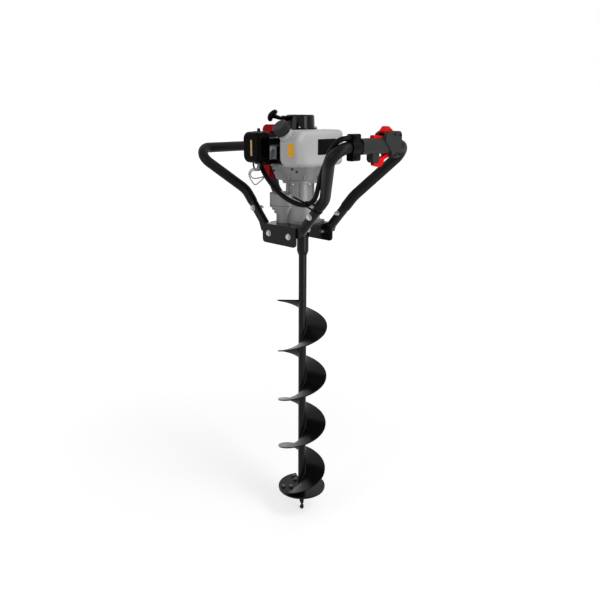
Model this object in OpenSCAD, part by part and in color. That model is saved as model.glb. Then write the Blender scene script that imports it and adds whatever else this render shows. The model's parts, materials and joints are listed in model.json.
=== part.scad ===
// Two-man style earth auger: a small engine drives a helical bit through a clutch and a two-stage gearbox.
// Origin at the pilot tip on the bit's axis, +Z up, X to the throttle grip, Y along the grips.

/* [Bit] */
// Diameter of the flighting
bit_d = 150; // [120:1:180]
// Thickness of the flighting
flight_t = 4; // [3:0.5:6]
// Rise of the flighting over one turn
flight_pitch = 161; // [140:1:180]
// Height of the flighting from the cutter disc to its top edge
flight_h = 628; // [600:1:640]
// Outer diameter of the bit's tube
shank_d = 24; // [20:0.5:28]
// Length of plain tube between the flighting and the sleeve
shank_free = 138; // [100:1:180]
// Length of the pilot screw below the cutter disc
pilot_l = 84; // [60:1:110]
// Width of the pilot screw at its root
pilot_w = 21; // [16:0.5:24]
// Thickness of the cutter disc
disc_t = 5; // [4:0.5:8]
// Opening in the cutter disc where soil climbs on to the flighting, in degrees
disc_gap = 62; // [40:1:90]
// Length of a cutter blade
blade_l = 48; // [40:1:52]
// Width of a cutter blade
blade_w = 24; // [20:1:28]

/* [Coupling] */
// Outer diameter of the bit's sleeve
sleeve_d = 34.5; // [32:0.5:40]
// Length of the bit's sleeve
sleeve_l = 88; // [80:1:110]
// Diameter of the gearbox output shaft
output_d = 20; // [18:0.5:22]
// Diameter of the coupling pin
pin_d = 8; // [6:0.5:8]

/* [Bracket] */
// Length of the bracket along X
bracket_l = 134; // [125:1:150]
// Width of the bracket over its two flanges
bracket_w = 151; // [148:1:160]
// Height of the flanges, from the plate's top
flange_h = 55; // [48:1:64]
// Thickness of the bracket's steel
plate_t = 5; // [4:0.5:6]
// Shift of the bracket's centre from the bit's axis along Y
bracket_y = -20.5; // [-22:0.5:-19]
// Distance of the flange bolts from the bracket's centre
flange_bolt_x = 40; // [36:1:46]
// Height of the flange bolts above the flange's lower edge
flange_bolt_h = 28; // [24:1:34]

/* [Handlebars] */
// Outer diameter of the handlebar tube
tube_d = 22; // [20:0.5:24]
// Wall of the handlebar and socket tubes
tube_wall = 2; // [1.5:0.5:2.5]
// Slope of the legs' lower run, in degrees
leg_angle = 48; // [46:0.5:50]
// Distance of a leg's foot beyond its flange bolt
leg_shift = 18; // [16:1:19]
// Distance from the leg's foot to its bend
leg_run = 150; // [148:1:156]
// Length of the socket tube from the leg's foot
socket_l = 132; // [128:1:136]
// How deep the handlebar sits in its socket
insert_l = 68; // [62:1:72]
// Distance from the leg's foot to its through bolt
leg_bolt_run = 84; // [82:1:90]
// Distance of the grips from the bit's axis
grip_x = 276; // [265:1:290]
// Corner of the handlebars on the near side
grip_near_y = -186; // [-200:1:-180]
// Corner of the handlebars on the far side
grip_far_y = 128; // [124:1:140]
// Height of the plain grip above the bracket
left_grip_rise = 201; // [190:1:215]
// Height of the throttle grip above the bracket
right_grip_rise = 224; // [215:1:232]
// Bend radius at the handlebar corners, to the tube's centre
corner_r = 36; // [32:1:37]
// Bend radius of the legs, to the tube's centre
bend_r = 52; // [40:1:55]
// Wall of the grip sleeves
sleeve_wall = 1.5; // [1:0.25:2]

/* [Throttle grip] */
// Height of the grip housing
housing_h = 39; // [37:1:42]
// Width of the grip housing
housing_w = 34; // [32:1:38]
// Height of the switch block
block_h = 66; // [62:1:70]
// Width of the switch block
block_w = 38; // [36:1:42]
// Thickness of the trigger
trigger_t = 10; // [8:0.5:11]
// Travel of the trigger, in degrees
trigger_travel = 18; // [12:1:20]

/* [Gearbox] */
// Module of the gears
gear_m = 1.5; // [1.4:0.05:1.6]
// Teeth on the clutch drum's pinion
input_teeth = 9; // [8:1:10]
// Teeth on the layshaft's wheel
lay_teeth = 50; // [48:1:52]
// Teeth on the layshaft's pinion
lay_pinion_teeth = 12; // [11:1:13]
// Teeth on the output gear
output_teeth = 58; // [56:1:60]
// Width of the gears' teeth
face_w = 13; // [11:0.5:14]
// Wall of the gear case
case_wall = 4; // [3:0.5:5]
// Shift of the engine's shaft from the bit's axis along Y
engine_y = -12; // [-13:0.5:-11]

/* [Engine] */
// Radius of the clutch drum
drum_r = 39; // [37:0.5:40]
// Radius of the clutch housing's upper rim
rim_r = 82; // [80:1:83]
// Radius of the clutch housing's bowl at its lower edge
bowl_r = 67; // [62:1:70]
// Radius of the crankcase
crankcase_r = 44; // [42:0.5:45]
// Height of the crankcase
crankcase_h = 56; // [54:1:58]
// Radius of the fan housing
fan_r = 47; // [46:0.5:47.5]
// Height of the fan housing
fan_h = 38; // [37:1:42]
// Radius of the starter housing
starter_r = 39; // [37:0.5:41]
// Height of the starter housing
starter_h = 37; // [36:1:42]
// Radius of the cylinder's cooling fins
fin_r = 34; // [30:0.5:35]
// Number of cooling fins on the cylinder
fin_count = 7; // [5:1:8]

/* [Tank and filter] */
// Width of the fuel tank along X
tank_w = 73; // [65:1:80]
// Length of the fuel tank along Y
tank_l = 177; // [165:1:185]
// Height of the fuel tank
tank_h = 93; // [85:1:98]
// Rounding of the fuel tank
tank_r = 13; // [8:1:16]
// Diameter of the fuel cap
cap_d = 42; // [38:1:46]
// Width of the air filter cover
filter_w = 70; // [64:1:74]
// Depth of the air filter cover
filter_d = 34; // [30:1:38]
// Height of the air filter cover
filter_h = 82; // [76:1:86]
// Length of the muffler along X
muffler_l = 62; // [54:1:64]
// Inner diameter of the muffler's outlet pipe
outlet_d = 12; // [10:0.5:14]

/* [Fits] */
// Radial clearance of a running shaft
run_gap = 0.05; // [0.02:0.01:0.1]
// Clearance between moving pieces
clear_gap = 0.4; // [0.3:0.05:0.6]
// Clearance between fixed pieces that are fitted together
seat_gap = 0.1; // [0.05:0.05:0.2]

/* [Hidden] */
$fn = 64;
eps = 0.01;

// Heights, from the pilot tip upwards
disc_z = pilot_l;
flight_z = disc_z + disc_t;
flight_top = flight_z + flight_h;
sleeve_z = flight_top + shank_free;
sleeve_top = sleeve_z + sleeve_l;
plate_z = sleeve_top + 4;
plate_top = plate_z + plate_t;
flange_z = plate_top - flange_h;
flange_bolt_z = flange_z + flange_bolt_h;

// Plan of the bracket
bracket_near = bracket_y - bracket_w / 2;
bracket_far = bracket_y + bracket_w / 2;
socket_d = tube_d + 2 * tube_wall + 2 * seat_gap;
tab_t = 6;
tab_step = 0.3;
near_y = bracket_near + plate_t + seat_gap + tab_step + socket_d / 2;
far_y = bracket_far - plate_t - seat_gap - tab_step - socket_d / 2;
bolt_d = 8;

// Gear train in plan and in height
output_c = [0, 0];
input_c = [0, engine_y];
input_dist = gear_m * (input_teeth + lay_teeth) / 2;
output_dist = gear_m * (lay_pinion_teeth + output_teeth) / 2;
lay_y = (pow(input_dist, 2) - pow(output_dist, 2) - pow(engine_y, 2)) / (-2 * engine_y);
lay_x = -sqrt(pow(output_dist, 2) - pow(lay_y, 2));
lay_c = [lay_x, lay_y];
pinion_shift = 0.4;
tooth_slack = 0.2;
floor_t = 20;
case_split = plate_top + 50;
web_t = 8;
low_gear_z = plate_top + floor_t + 3;
high_gear_z = case_split + web_t + 2;
roof_z = high_gear_z + face_w + 2;
roof_t = 8;
neck_top = plate_top + 121;
neck_r = 40;
neck_flange_r = 50;
lay_d = 12;
drum_shaft_d = 12;
output_gear_r = gear_m * (output_teeth / 2 + 1 - pinion_shift);
lay_wheel_r = gear_m * (lay_teeth / 2 + 1 - pinion_shift);

// Engine heights
bowl_h = 45;
rim_z = neck_top + bowl_h;
crank_z = rim_z;
fan_z = crank_z + crankcase_h;
starter_z = fan_z + fan_h;
starter_top = starter_z + starter_h;
cylinder_z = crank_z + crankcase_h / 2;
crank_d = 15;
crank_bearing_d = 35;
drum_z = neck_top + 8;
drum_h = 25;
drum_wall = 3;
port_x = -57;
rope_x = -22;
rope_z = starter_top - 10;
rope_d = 3.5;
guide_y = engine_y - 46;

// Throttle grip places
grip_z = plate_top + right_grip_rise;
plain_grip_z = plate_top + left_grip_rise;
housing_y0 = -86;
block_y0 = 22;
block_y1 = 60;
trigger_pivot = [grip_x, 42, grip_z - 18];
lock_pivot = [grip_x, 10, grip_z + housing_h / 2 - 2];
switch_pivot = [grip_x, 18, grip_z + 34];

// Tank and intake places
tank_x = 50;
tank_far_y = 35;
tank_z = rim_z + 0.5;
tank_near_y = tank_far_y - tank_l;
tank_top = tank_z + tank_h;
neck_d = 32;
filter_x = -46;
filter_z = cylinder_z + 18;
filter_back = -121;
base_t = 6;
intake_y = engine_y - fin_r - 4;
insulator_t = 12;
carb_back = intake_y - insulator_t;
carb_w = 32;
carb_h = 38;
bore_d = 18;
exhaust_y = engine_y + fin_r + 8;

// Shared shapes

function unit(v) = v / norm(v);

function arc(c, r, a0, a1, n) = [for (i = [0:n]) let (a = a0 + (a1 - a0) * i / n) c + r * [cos(a), sin(a)]];

// Corner points of a rectangle with round corners
function round_rect(w, h, r, n = 6) = concat(
    arc([w / 2 - r, h / 2 - r], r, 0, 90, n), arc([r - w / 2, h / 2 - r], r, 90, 180, n),
    arc([r - w / 2, r - h / 2], r, 180, 270, n), arc([w / 2 - r, r - h / 2], r, 270, 360, n)
);

module plate(w, h, r, t) {
    linear_extrude(t) polygon(round_rect(w, h, r));
}

// Turns a profile drawn in Y and Z, and extruded along X
module along_x(x0, x1) {
    translate([x0, 0, 0]) rotate([90, 0, 90]) linear_extrude(x1 - x0) children();
}

// Turns a profile drawn in X and Z, and extruded along Y
module along_y(y0, y1) {
    translate([0, y1, 0]) rotate([90, 0, 0]) linear_extrude(y1 - y0) children();
}

// Round bar from one point to another
module rod(a, b, d) {
    v = b - a;
    translate(a) rotate([0, acos(v[2] / norm(v)), atan2(v[1], v[0])]) cylinder(d = d, h = norm(v));
}

module ring(od, id, h) {
    difference() {
        cylinder(d = od, h = h);
        translate([0, 0, -1]) cylinder(d = id, h = h + 2);
    }
}

// A tube along straight runs with an arc of its own radius at each inner point
function turn_angle(p, i) = acos(unit(p[i] - p[i - 1]) * unit(p[i + 1] - p[i]));
function trim(p, r, i) = i == 0 || i == len(p) - 1 ? 0 : r[i - 1] * tan(turn_angle(p, i) / 2);

module tube_run(a, b, od, id) {
    v = b - a;
    translate(a) rotate([0, acos(v[2] / norm(v)), atan2(v[1], v[0])]) ring(od, id, norm(v));
}

module tube_bend(p0, p1, p2, r, od, id) {
    a = unit(p1 - p0);
    b = unit(p2 - p1);
    angle = acos(a * b);
    n = unit(b - a * cos(angle));
    k = cross(a, n);
    c = p1 - a * r * tan(angle / 2) + n * r;
    multmatrix([
        [-n[0], a[0], k[0], c[0]], [-n[1], a[1], k[1], c[1]], [-n[2], a[2], k[2], c[2]], [0, 0, 0, 1]
    ]) rotate_extrude(angle = angle) translate([r, 0]) difference() {
        circle(d = od);
        circle(d = id);
    }
}

// Straight runs lap a little way into the bends, inside the bends' wall
bend_lap = 1;
bend_step = 0.12;

module bent_tube(p, r, od, id) {
    last = len(p) - 2;
    for (i = [0:last]) {
        v = unit(p[i + 1] - p[i]);
        start = p[i] + v * (trim(p, r, i) - (i == 0 ? 0 : bend_lap));
        end = p[i + 1] - v * (trim(p, r, i + 1) - (i == last ? 0 : bend_lap));
        tube_run(start, end, od - 2 * bend_step, id + 2 * bend_step);
    }
    for (i = [1:len(p) - 2]) tube_bend(p[i - 1], p[i], p[i + 1], r[i - 1], od, id);
}

// Smooth curve through points chosen by hand, swept to a round cord
function between(a, b, c, d, t) = 0.5 * (2 * b + (c - a) * t + (2 * a - 5 * b + 4 * c - d) * t * t
    + (3 * b - a - 3 * c + d) * t * t * t);
function smooth(p, n) = concat([for (i = [0:len(p) - 2]) for (k = [0:n - 1])
    between(p[max(i - 1, 0)], p[i], p[i + 1], p[min(i + 2, len(p) - 1)], k / n)], [p[len(p) - 1]]);
function tangents(p) = [for (i = [0:len(p) - 1]) unit(p[min(i + 1, len(p) - 1)] - p[max(i - 1, 0)])];
function carry(t, i, n) = i >= len(t) ? [] :
    let (m = unit(n - (n * t[i]) * t[i])) concat([m], carry(t, i + 1, m));

module cord(p, d, sides = 8, n = 3) {
    q = smooth(p, n);
    t = tangents(q);
    m = carry(t, 0, abs(t[0][2]) < 0.9 ? [0, 0, 1] : [1, 0, 0]);
    last = len(q) - 1;
    points = [for (i = [0:last]) for (s = [0:sides - 1])
        q[i] + d / 2 * (m[i] * cos(360 * s / sides) + cross(t[i], m[i]) * sin(360 * s / sides))];
    walls = [for (i = [0:last - 1]) for (s = [0:sides - 1]) let (e = (s + 1) % sides)
        let (a = i * sides, b = a + sides) each [[a + s, a + e, b + e], [a + s, b + e, b + s]]];
    ends = [[for (s = [sides - 1:-1:0]) s], [for (s = [0:sides - 1]) last * sides + s]];
    polyhedron(points, [for (f = concat(walls, ends)) [for (i = [len(f) - 1:-1:0]) f[i]]]);
}

// Involute spur gear: the flank's half angle at a radius, then the outline tooth by tooth
pressure = 20;
function inv(a) = tan(a) * 180 / PI - a;
function flank(z, x, r) = let (base = gear_m * z / 2 * cos(pressure))
    (PI / 2 + 2 * x * tan(pressure)) / z * 180 / PI - tooth_slack / (gear_m * z) * 180 / PI
    + inv(pressure) - inv(acos(min(1, base / r)));

module gear_outline(z, x) {
    pitch_r = gear_m * z / 2;
    root = pitch_r - gear_m * (1.25 - x);
    tip = pitch_r + gear_m * (1 + x) * 0.95;
    low = max(root + 0.05, pitch_r * cos(pressure) + 0.01);
    radii = [root, low, low + (tip - low) * 0.4, low + (tip - low) * 0.75, tip];
    polygon([for (i = [0:z - 1]) let (c = 360 * i / z) each concat(
        [for (k = [0:4]) let (a = c - flank(z, x, max(low, radii[k]))) radii[k] * [cos(a), sin(a)]],
        [for (k = [4:-1:0]) let (a = c + flank(z, x, max(low, radii[k]))) radii[k] * [cos(a), sin(a)]]
    )]);
}

// Hexagon-headed bolt pointing along +Z, its head below the origin
module bolt(d, length, nut = true, grip = 0) {
    translate([0, 0, -0.65 * d]) cylinder(d = 1.7 * d, h = 0.65 * d, $fn = 6);
    cylinder(d = d, h = length);
    if (nut) translate([0, 0, grip]) cylinder(d = 1.7 * d, h = 0.8 * d, $fn = 6);
}

// Frame

module bracket() {
    color("#26272a") difference() {
        union() {
            translate([0, bracket_y, plate_z]) plate(bracket_l, bracket_w, 3, plate_t);
            for (y = [bracket_near, bracket_far - plate_t])
                along_y(y, y + plate_t) polygon(flange_outline());
        }
        translate([0, 0, plate_z - 1]) cylinder(r = sleeve_d / 2 + 8, h = plate_t + 2);
        for (p = case_bolts())
            translate([p[0], p[1], plate_z - 1]) cylinder(d = case_bolt_d + 0.6, h = plate_t + 2);
        for (x = [-bracket_l / 2 - 1, notch_x])
            for (y = [bracket_near + plate_t, far_y - socket_d / 2 - notch_gap])
                translate([x, y, plate_z - 1]) cube([bracket_l / 2 + 1 - notch_x, notch_w, plate_t + 2]);
        for (s = [-1, 1])
            translate([s * flange_bolt_x, bracket_near - 1, flange_bolt_z]) rotate([-90, 0, 0])
                cylinder(d = bolt_d + 2 * seat_gap, h = bracket_w + 2);
    }
}

// Notches in the plate's ends that the legs rise through
notch_gap = 1.5;
leg_foot_x = flange_bolt_x + leg_shift;
notch_x = leg_foot_x + (plate_z - flange_bolt_z) / tan(leg_angle)
    - (socket_d / 2 + notch_gap) / sin(leg_angle);
notch_w = seat_gap + tab_step + socket_d + notch_gap;

// A flange with round lower corners, seen along Y
function flange_outline() = concat(
    arc([bracket_l / 2 - 10, flange_z + 10], 10, 270, 360, 6), [[bracket_l / 2, plate_z + plate_t / 2]],
    [[-bracket_l / 2, plate_z + plate_t / 2]], arc([10 - bracket_l / 2, flange_z + 10], 10, 180, 270, 6)
);

case_bolt_d = 6;
case_bolt_reach = 38;
function case_bolts() = [for (x = [-1, 1]) for (y = [-1, 1]) case_bolt_reach * [x, y]];

module gearbox_bolts() {
    color("#b9bcc0") for (p = case_bolts())
        translate([p[0], p[1], plate_z]) bolt(case_bolt_d, plate_t + 6, false);
}

// Point on a leg, at a distance from its foot
function leg_point(side, y, run) =
    [side * (leg_foot_x + run * cos(leg_angle)), y, flange_bolt_z + run * sin(leg_angle)];

tab_w = 26;
tab_l = 34;
press_l = 11;

// Local X runs up a leg from its foot, local Y stays along the flange bolt
module on_leg(side, y) {
    turn = side > 0 ? -leg_angle : 180 + leg_angle;
    translate([side * leg_foot_x, y, flange_bolt_z]) rotate([0, turn, 0]) children();
}

// The flange bolt's place on a leg, and the tab's outline round it, along and across the leg
tab_bolt = leg_shift * [-cos(leg_angle), sin(leg_angle)];
tab_outline = concat(
    [[tab_l / 2, -tab_w / 2], [tab_l + 8, -tab_w / 8], [tab_l + 8, tab_w / 8], [tab_l / 2, tab_w / 2]],
    arc(tab_bolt, tab_w / 2, 75, 255, 14)
);

// Socket tube, pressed to a flat tab at its lower end where it lies against the flange
module leg_socket(side, y, out) {
    outer = out * (socket_d / 2 + tab_step);
    inner = outer - out * tab_t;
    hole = bolt_d + 2 * seat_gap;
    on_leg(side, y) difference() {
        union() {
            intersection() {
                rotate([0, 90, 0]) cylinder(d = socket_d, h = socket_l);
                translate([0, 0, -socket_d]) linear_extrude(2 * socket_d) polygon([
                    [press_l, outer], [socket_l + 1, outer], [socket_l + 1, -outer],
                    [tab_l, -outer], [press_l, inner]
                ]);
            }
            along_y(min(outer, inner), max(outer, inner))
                polygon([for (p = tab_outline) [p[0], side * p[1]]]);
        }
        translate([tab_l + 10, 0, 0]) rotate([0, 90, 0]) cylinder(d = tube_d + 2 * seat_gap, h = socket_l);
        rod([leg_bolt_run, -socket_d, 0], [leg_bolt_run, socket_d, 0], hole);
        rod([tab_bolt[0], -socket_d, side * tab_bolt[1]], [tab_bolt[0], socket_d, side * tab_bolt[1]], hole);
    }
}

module leg_sockets() {
    color("#1f2022") for (s = [-1, 1]) {
        leg_socket(s, near_y, -1);
        leg_socket(s, far_y, 1);
    }
}

module bolt_along_y(p, out, length, grip) {
    translate(p) rotate([out * 90, 0, 0]) bolt(bolt_d, length, true, grip);
}

module frame_bolts() {
    stack = plate_t + seat_gap + tab_t;
    color("#c3c6ca") for (s = [-1, 1]) {
        bolt_along_y([s * flange_bolt_x, bracket_near, flange_bolt_z], -1, stack + 12, stack);
        bolt_along_y([s * flange_bolt_x, bracket_far, flange_bolt_z], 1, stack + 12, stack);
        bolt_along_y(leg_point(s, near_y - socket_d / 2, leg_bolt_run), -1, socket_d + 12, socket_d);
        bolt_along_y(leg_point(s, far_y + socket_d / 2, leg_bolt_run), 1, socket_d + 12, socket_d);
    }
}

function bar_points(side, z) = [
    leg_point(side, near_y, socket_l - insert_l), leg_point(side, near_y, leg_run),
    [side * grip_x, grip_near_y, z], [side * grip_x, grip_far_y, z],
    leg_point(side, far_y, leg_run), leg_point(side, far_y, socket_l - insert_l)
];
bar_radii = [bend_r, corner_r, corner_r, bend_r];

module handlebar(side, z) {
    difference() {
        bent_tube(bar_points(side, z), bar_radii, tube_d, tube_d - 2 * tube_wall);
        for (y = [near_y, far_y])
            rod(leg_point(side, y - tube_d, leg_bolt_run), leg_point(side, y + tube_d, leg_bolt_run),
                bolt_d + 2 * seat_gap);
    }
}

module left_handlebar() {
    color("#1b1c1e") handlebar(-1, plain_grip_z);
}

module right_handlebar() {
    color("#1b1c1e") handlebar(1, grip_z);
}

// Part of a bar's route, cut short at a share of its first and last run
function part_route(p, i, j, a, b) = concat(
    [p[i] + (p[i + 1] - p[i]) * a], [for (k = [i + 1:j - 1]) p[k]], [p[j] + (p[j - 1] - p[j]) * b]
);

// Share of a bar's rising run that stays bare below its sleeve
sleeve_start = 0.3;

module grip_sleeves() {
    bore = tube_d + 2 * seat_gap;
    left = bar_points(-1, plain_grip_z);
    right = bar_points(1, grip_z);
    od = bore + 2 * sleeve_wall;
    start = right[1] + (right[2] - right[1]) * sleeve_start;
    end = right[4] + (right[3] - right[4]) * sleeve_start;
    color("#17181a") {
        bent_tube(part_route(left, 1, 4, sleeve_start, sleeve_start), [corner_r, corner_r], od, bore);
        bent_tube([start, right[2], [grip_x, clamp_y0 - 1, grip_z]], [corner_r], od, bore);
        bent_tube([[grip_x, block_y1 + 1, grip_z], right[3], end], [corner_r], od, bore);
    }
}

// Throttle grip

clamp_y0 = -122;
clamp_y1 = housing_y0 - 1;
clamp_w = 22;
clamp_h = 64;
// Height of the conduit above the grip's axis where it enters the clamp
conduit_rise = 22;

module throttle_clamp() {
    color("#1d1e20") difference() {
        union() {
            translate([grip_x, 0, grip_z]) along_y(clamp_y0, clamp_y1) circle(d = housing_w);
            translate([grip_x, 0, grip_z]) along_y(clamp_y0 + 4, clamp_y1 - 4)
                polygon(round_rect(clamp_w, clamp_h, 5));
        }
        rod([grip_x, clamp_y0 - 1, grip_z], [grip_x, clamp_y1 + 1, grip_z], tube_d + 2 * seat_gap);
        translate([grip_x, 0, grip_z + conduit_rise]) along_y(clamp_y0 - 1, clamp_y1 + 1)
            circle(d = conduit_d + 2 * clear_gap);
        translate([grip_x - 1, clamp_y0 - 1, grip_z - 40]) cube([2, clamp_y1 - clamp_y0 + 2, 40]);
    }
}

block_r = 12;

// Outline of the switch block seen along X
function block_outline() = concat(
    arc([block_y1 - block_r, grip_z + block_h / 2 + 3 - block_r], block_r, 0, 90, 6),
    [[block_y0 - 12, grip_z + block_h / 2 + 3], [block_y0 - 24, grip_z + block_h / 2 - 3]],
    [[block_y0 - 28, grip_z + 12], [block_y0 - 4, grip_z - 12], [block_y0 + 6, grip_z - block_h / 2 + 3]],
    arc([block_y1 - block_r, grip_z - block_h / 2 + 3 + block_r], block_r, 270, 360, 6)
);

guard_y0 = -44;
guard_y1 = -18;
guard_drop = 40;
guard_w = 20;
lock_w = 12;
lock_l = 48;
switch_w = 18;
switch_l = 34;
trigger_pin_d = 4;

module grip_shell() {
    difference() {
        union() {
            translate([grip_x, 0, grip_z + 1]) along_y(housing_y0, block_y0 + 4)
                polygon(round_rect(housing_w, housing_h, 13, 8));
            along_x(grip_x - block_w / 2, grip_x + block_w / 2) polygon(block_outline());
            along_x(grip_x - guard_w / 2, grip_x + guard_w / 2) polygon(concat(
                arc([guard_y0 + 12, grip_z - guard_drop + 12], 12, 180, 270, 6),
                [[guard_y1, grip_z - guard_drop], [guard_y1, grip_z - 10], [guard_y0, grip_z - 10]]));
        }
        rod([grip_x, housing_y0 - 1, grip_z], [grip_x, block_y1 + 1, grip_z], tube_d + 2 * seat_gap);
        // slot that the trigger swings in
        translate([grip_x - trigger_t / 2 - clear_gap, guard_y0 + 4, grip_z - 80])
            cube([trigger_t + 2 * clear_gap, block_y0 + 30 - guard_y0, 80 - tube_d / 2 - 1]);
        // slots for the lockout lever and the stop switch
        translate([grip_x - lock_w / 2 - clear_gap, lock_pivot[1] - lock_l - 8, grip_z + tube_d / 2 + 2])
            cube([lock_w + 2 * clear_gap, lock_l + 14, block_h]);
        translate(switch_pivot - [switch_w / 2 + clear_gap, switch_l / 2 + 4, 9])
            cube([switch_w + 2 * clear_gap, switch_l + 8, block_h]);
        translate([0, trigger_pivot[1], trigger_pivot[2]]) along_x(grip_x - block_w, grip_x + block_w)
            circle(d = trigger_pin_d + 2 * run_gap);
    }
}

module half_space(side) {
    reach = 2 * block_w;
    translate([grip_x + (side > 0 ? seat_gap / 2 : -reach - seat_gap / 2), -4 * reach, grip_z - 2 * reach])
        cube([reach, 8 * reach, 4 * reach]);
}

module throttle_housing_inner() {
    color("#3a3b3e") intersection() {
        grip_shell();
        half_space(-1);
    }
}

module throttle_housing_outer() {
    color("#3a3b3e") intersection() {
        grip_shell();
        half_space(1);
    }
}

// Trigger blade seen along X: round at its pin, hooked at its tip
module throttle_trigger() {
    y = trigger_pivot[1];
    z = trigger_pivot[2];
    color("#c8181c") {
        along_x(grip_x - trigger_t / 2, grip_x + trigger_t / 2) polygon(concat(
            arc([y, z], 5, -70, 90, 8),
            [[y - 20, z - 1], [y - 54, z - 12.5], [y - 71, z - 20]],
            arc([y - 71, z - 24.5], 4.5, 90, 250, 6),
            [[y - 55, z - 33], [y - 44, z - 31], [y - 38, z - 27], [y - 34, z - 16], [y - 20, z - 11]]
        ));
        translate([0, y, z]) along_x(grip_x - block_w / 2 + 2, grip_x + block_w / 2 - 2)
            circle(d = trigger_pin_d);
    }
}

module lockout_lever() {
    y = lock_pivot[1];
    z = lock_pivot[2];
    color("#c8181c") along_x(grip_x - lock_w / 2, grip_x + lock_w / 2) polygon(concat(
        arc([y, z], 4, -90, 60, 6), [[y - 8, z + 6.5]],
        arc([y - lock_l + 5, z + 5], 5, 90, 180, 6), [[y - lock_l, z + 1], [y - 12, z - 2]]
    ));
}

module stop_switch() {
    y = switch_pivot[1];
    z = switch_pivot[2];
    end = switch_l / 2;
    color("#d01a1e") along_x(grip_x - switch_w / 2, grip_x + switch_w / 2) polygon([
        [y - end, z + 3], [y - end, z - 1], [y - 6, z - 4], [y + 6, z - 4],
        [y + end, z - 1], [y + end, z + 3], [y + 9, z + 8], [y - 1, z + 14], [y - 6, z + 13]
    ]);
}

conduit_d = 13;
tie_run = 112;

// Routes of the cords, chosen by hand, with heights above the bracket's top
tie_point = [118.4, -99.6, 71.6];
conduit_route = [
    [276, -90, 246], [276, -106, 246], [276, -118, 246], [275, -128, 245.5], [265, -146, 238],
    [243, -149, 217], [214, -137, 184], [190, -124, 154], [167, -108, 122], [147, -100, 94], [132, -99, 79],
    tie_point, [100, -101, 66], [73, -104, 68], [40, -108, 79], [6, -112, 100], [-20, -110, 124],
    [-36, -101, 144], [-46, -92, 156], [-49.5, -90, 163], [-50, -90, 168.5]
];

module throttle_conduit() {
    color("#161719") translate([0, 0, plate_top]) cord(conduit_route, conduit_d, 10, 3);
}

tie_slack = 2.6;

// Strap round a leg and the conduit beside it, with its cut tail
module conduit_tie(p, q, tail) {
    v = unit(leg_point(1, 0, 100) - leg_point(1, 0, 0));
    w = q - p - ((q - p) * v) * v;
    n = unit(w);
    k = cross(v, n);
    reach = norm(w);
    leg_r = socket_d / 2 + seat_gap;
    cord_r = conduit_d / 2 + tie_slack;
    multmatrix([[n[0], k[0], v[0], p[0]], [n[1], k[1], v[1], p[1]], [n[2], k[2], v[2], p[2]], [0, 0, 0, 1]]) {
        linear_extrude(5, center = true) difference() {
            hull() {
                circle(r = leg_r + 1.5);
                translate([reach, 0]) circle(r = cord_r + 1.5);
            }
            hull() {
                circle(r = leg_r);
                translate([reach, 0]) circle(r = cord_r);
            }
        }
        translate([reach + cord_r + 1, -2, -2.5]) cube([tail, 1.5, 5]);
    }
}

module conduit_ties() {
    color("#141516") conduit_tie(leg_point(1, near_y, tie_run), tie_point + [0, 0, plate_top], 34);
}

wire_d = 2.6;
wire_route = [
    [-36, -110, 138], [-41, -113, 129], [-47, -123, 118], [-52, -134, 111], [-57, -141, 120],
    [-61, -146, 132], [-62, -147, 144], [-56, -141, 154], [-48, -134, 154], [-46, -129, 161],
    [-47, -128, 170.5]
];

module stop_wires() {
    color("#8f9295") translate([0, 0, plate_top]) cord(wire_route, wire_d, 8, 3);
}

// Gearbox

// A gear on its shaft's place, turned so that its teeth mesh with the next
module spur(c, z, turn, teeth, shift, bore) {
    translate([c[0], c[1], z]) rotate(turn) difference() {
        linear_extrude(face_w) gear_outline(teeth, shift);
        translate([0, 0, -1]) cylinder(d = bore, h = face_w + 2);
    }
}

output_dir = atan2(lay_c[1] - output_c[1], lay_c[0] - output_c[0]);
input_dir = atan2(lay_c[1] - input_c[1], lay_c[0] - input_c[0]);
lay_turn = output_dir + 180 + 180 / lay_pinion_teeth;
drum_turn = input_dir;
wheel_turn = input_dir + 180 + 180 / lay_teeth;

module gear_case_lower() {
    boss = [[24, 0, 26], [30, 26, 36], [36, 36, 44], [lay_wheel_r + case_wall, 44, 50]];
    color("#a9abad") difference() {
        union() {
            translate([0, 0, plate_top]) plate(94, 94, 9, 7);
            translate([0, 0, plate_top])
                cylinder(r = output_gear_r + case_wall + 0.6, h = case_split - plate_top);
            for (b = boss)
                translate([lay_c[0], lay_c[1], plate_top + b[1]]) cylinder(r = b[0], h = b[2] - b[1]);
        }
        translate([0, 0, plate_top + floor_t]) cylinder(r = output_gear_r + 0.6, h = case_split);
        translate([lay_c[0], lay_c[1], plate_top + floor_t]) cylinder(r = 14.5, h = case_split);
        translate([lay_c[0], lay_c[1], plate_top + 8]) cylinder(d = 28 + 2 * seat_gap, h = floor_t);
        translate([0, 0, plate_top - 1]) cylinder(d = output_d + 4, h = floor_t + 2);
        translate([0, 0, plate_top - 1]) cylinder(d = 34 + 2 * seat_gap, h = 7);
        translate([0, 0, plate_top + 8]) cylinder(d = 42 + 2 * seat_gap, h = floor_t);
        for (p = case_bolts())
            translate([p[0], p[1], plate_top - 1]) cylinder(d = case_bolt_d + 2 * seat_gap, h = 8);
    }
}

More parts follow.
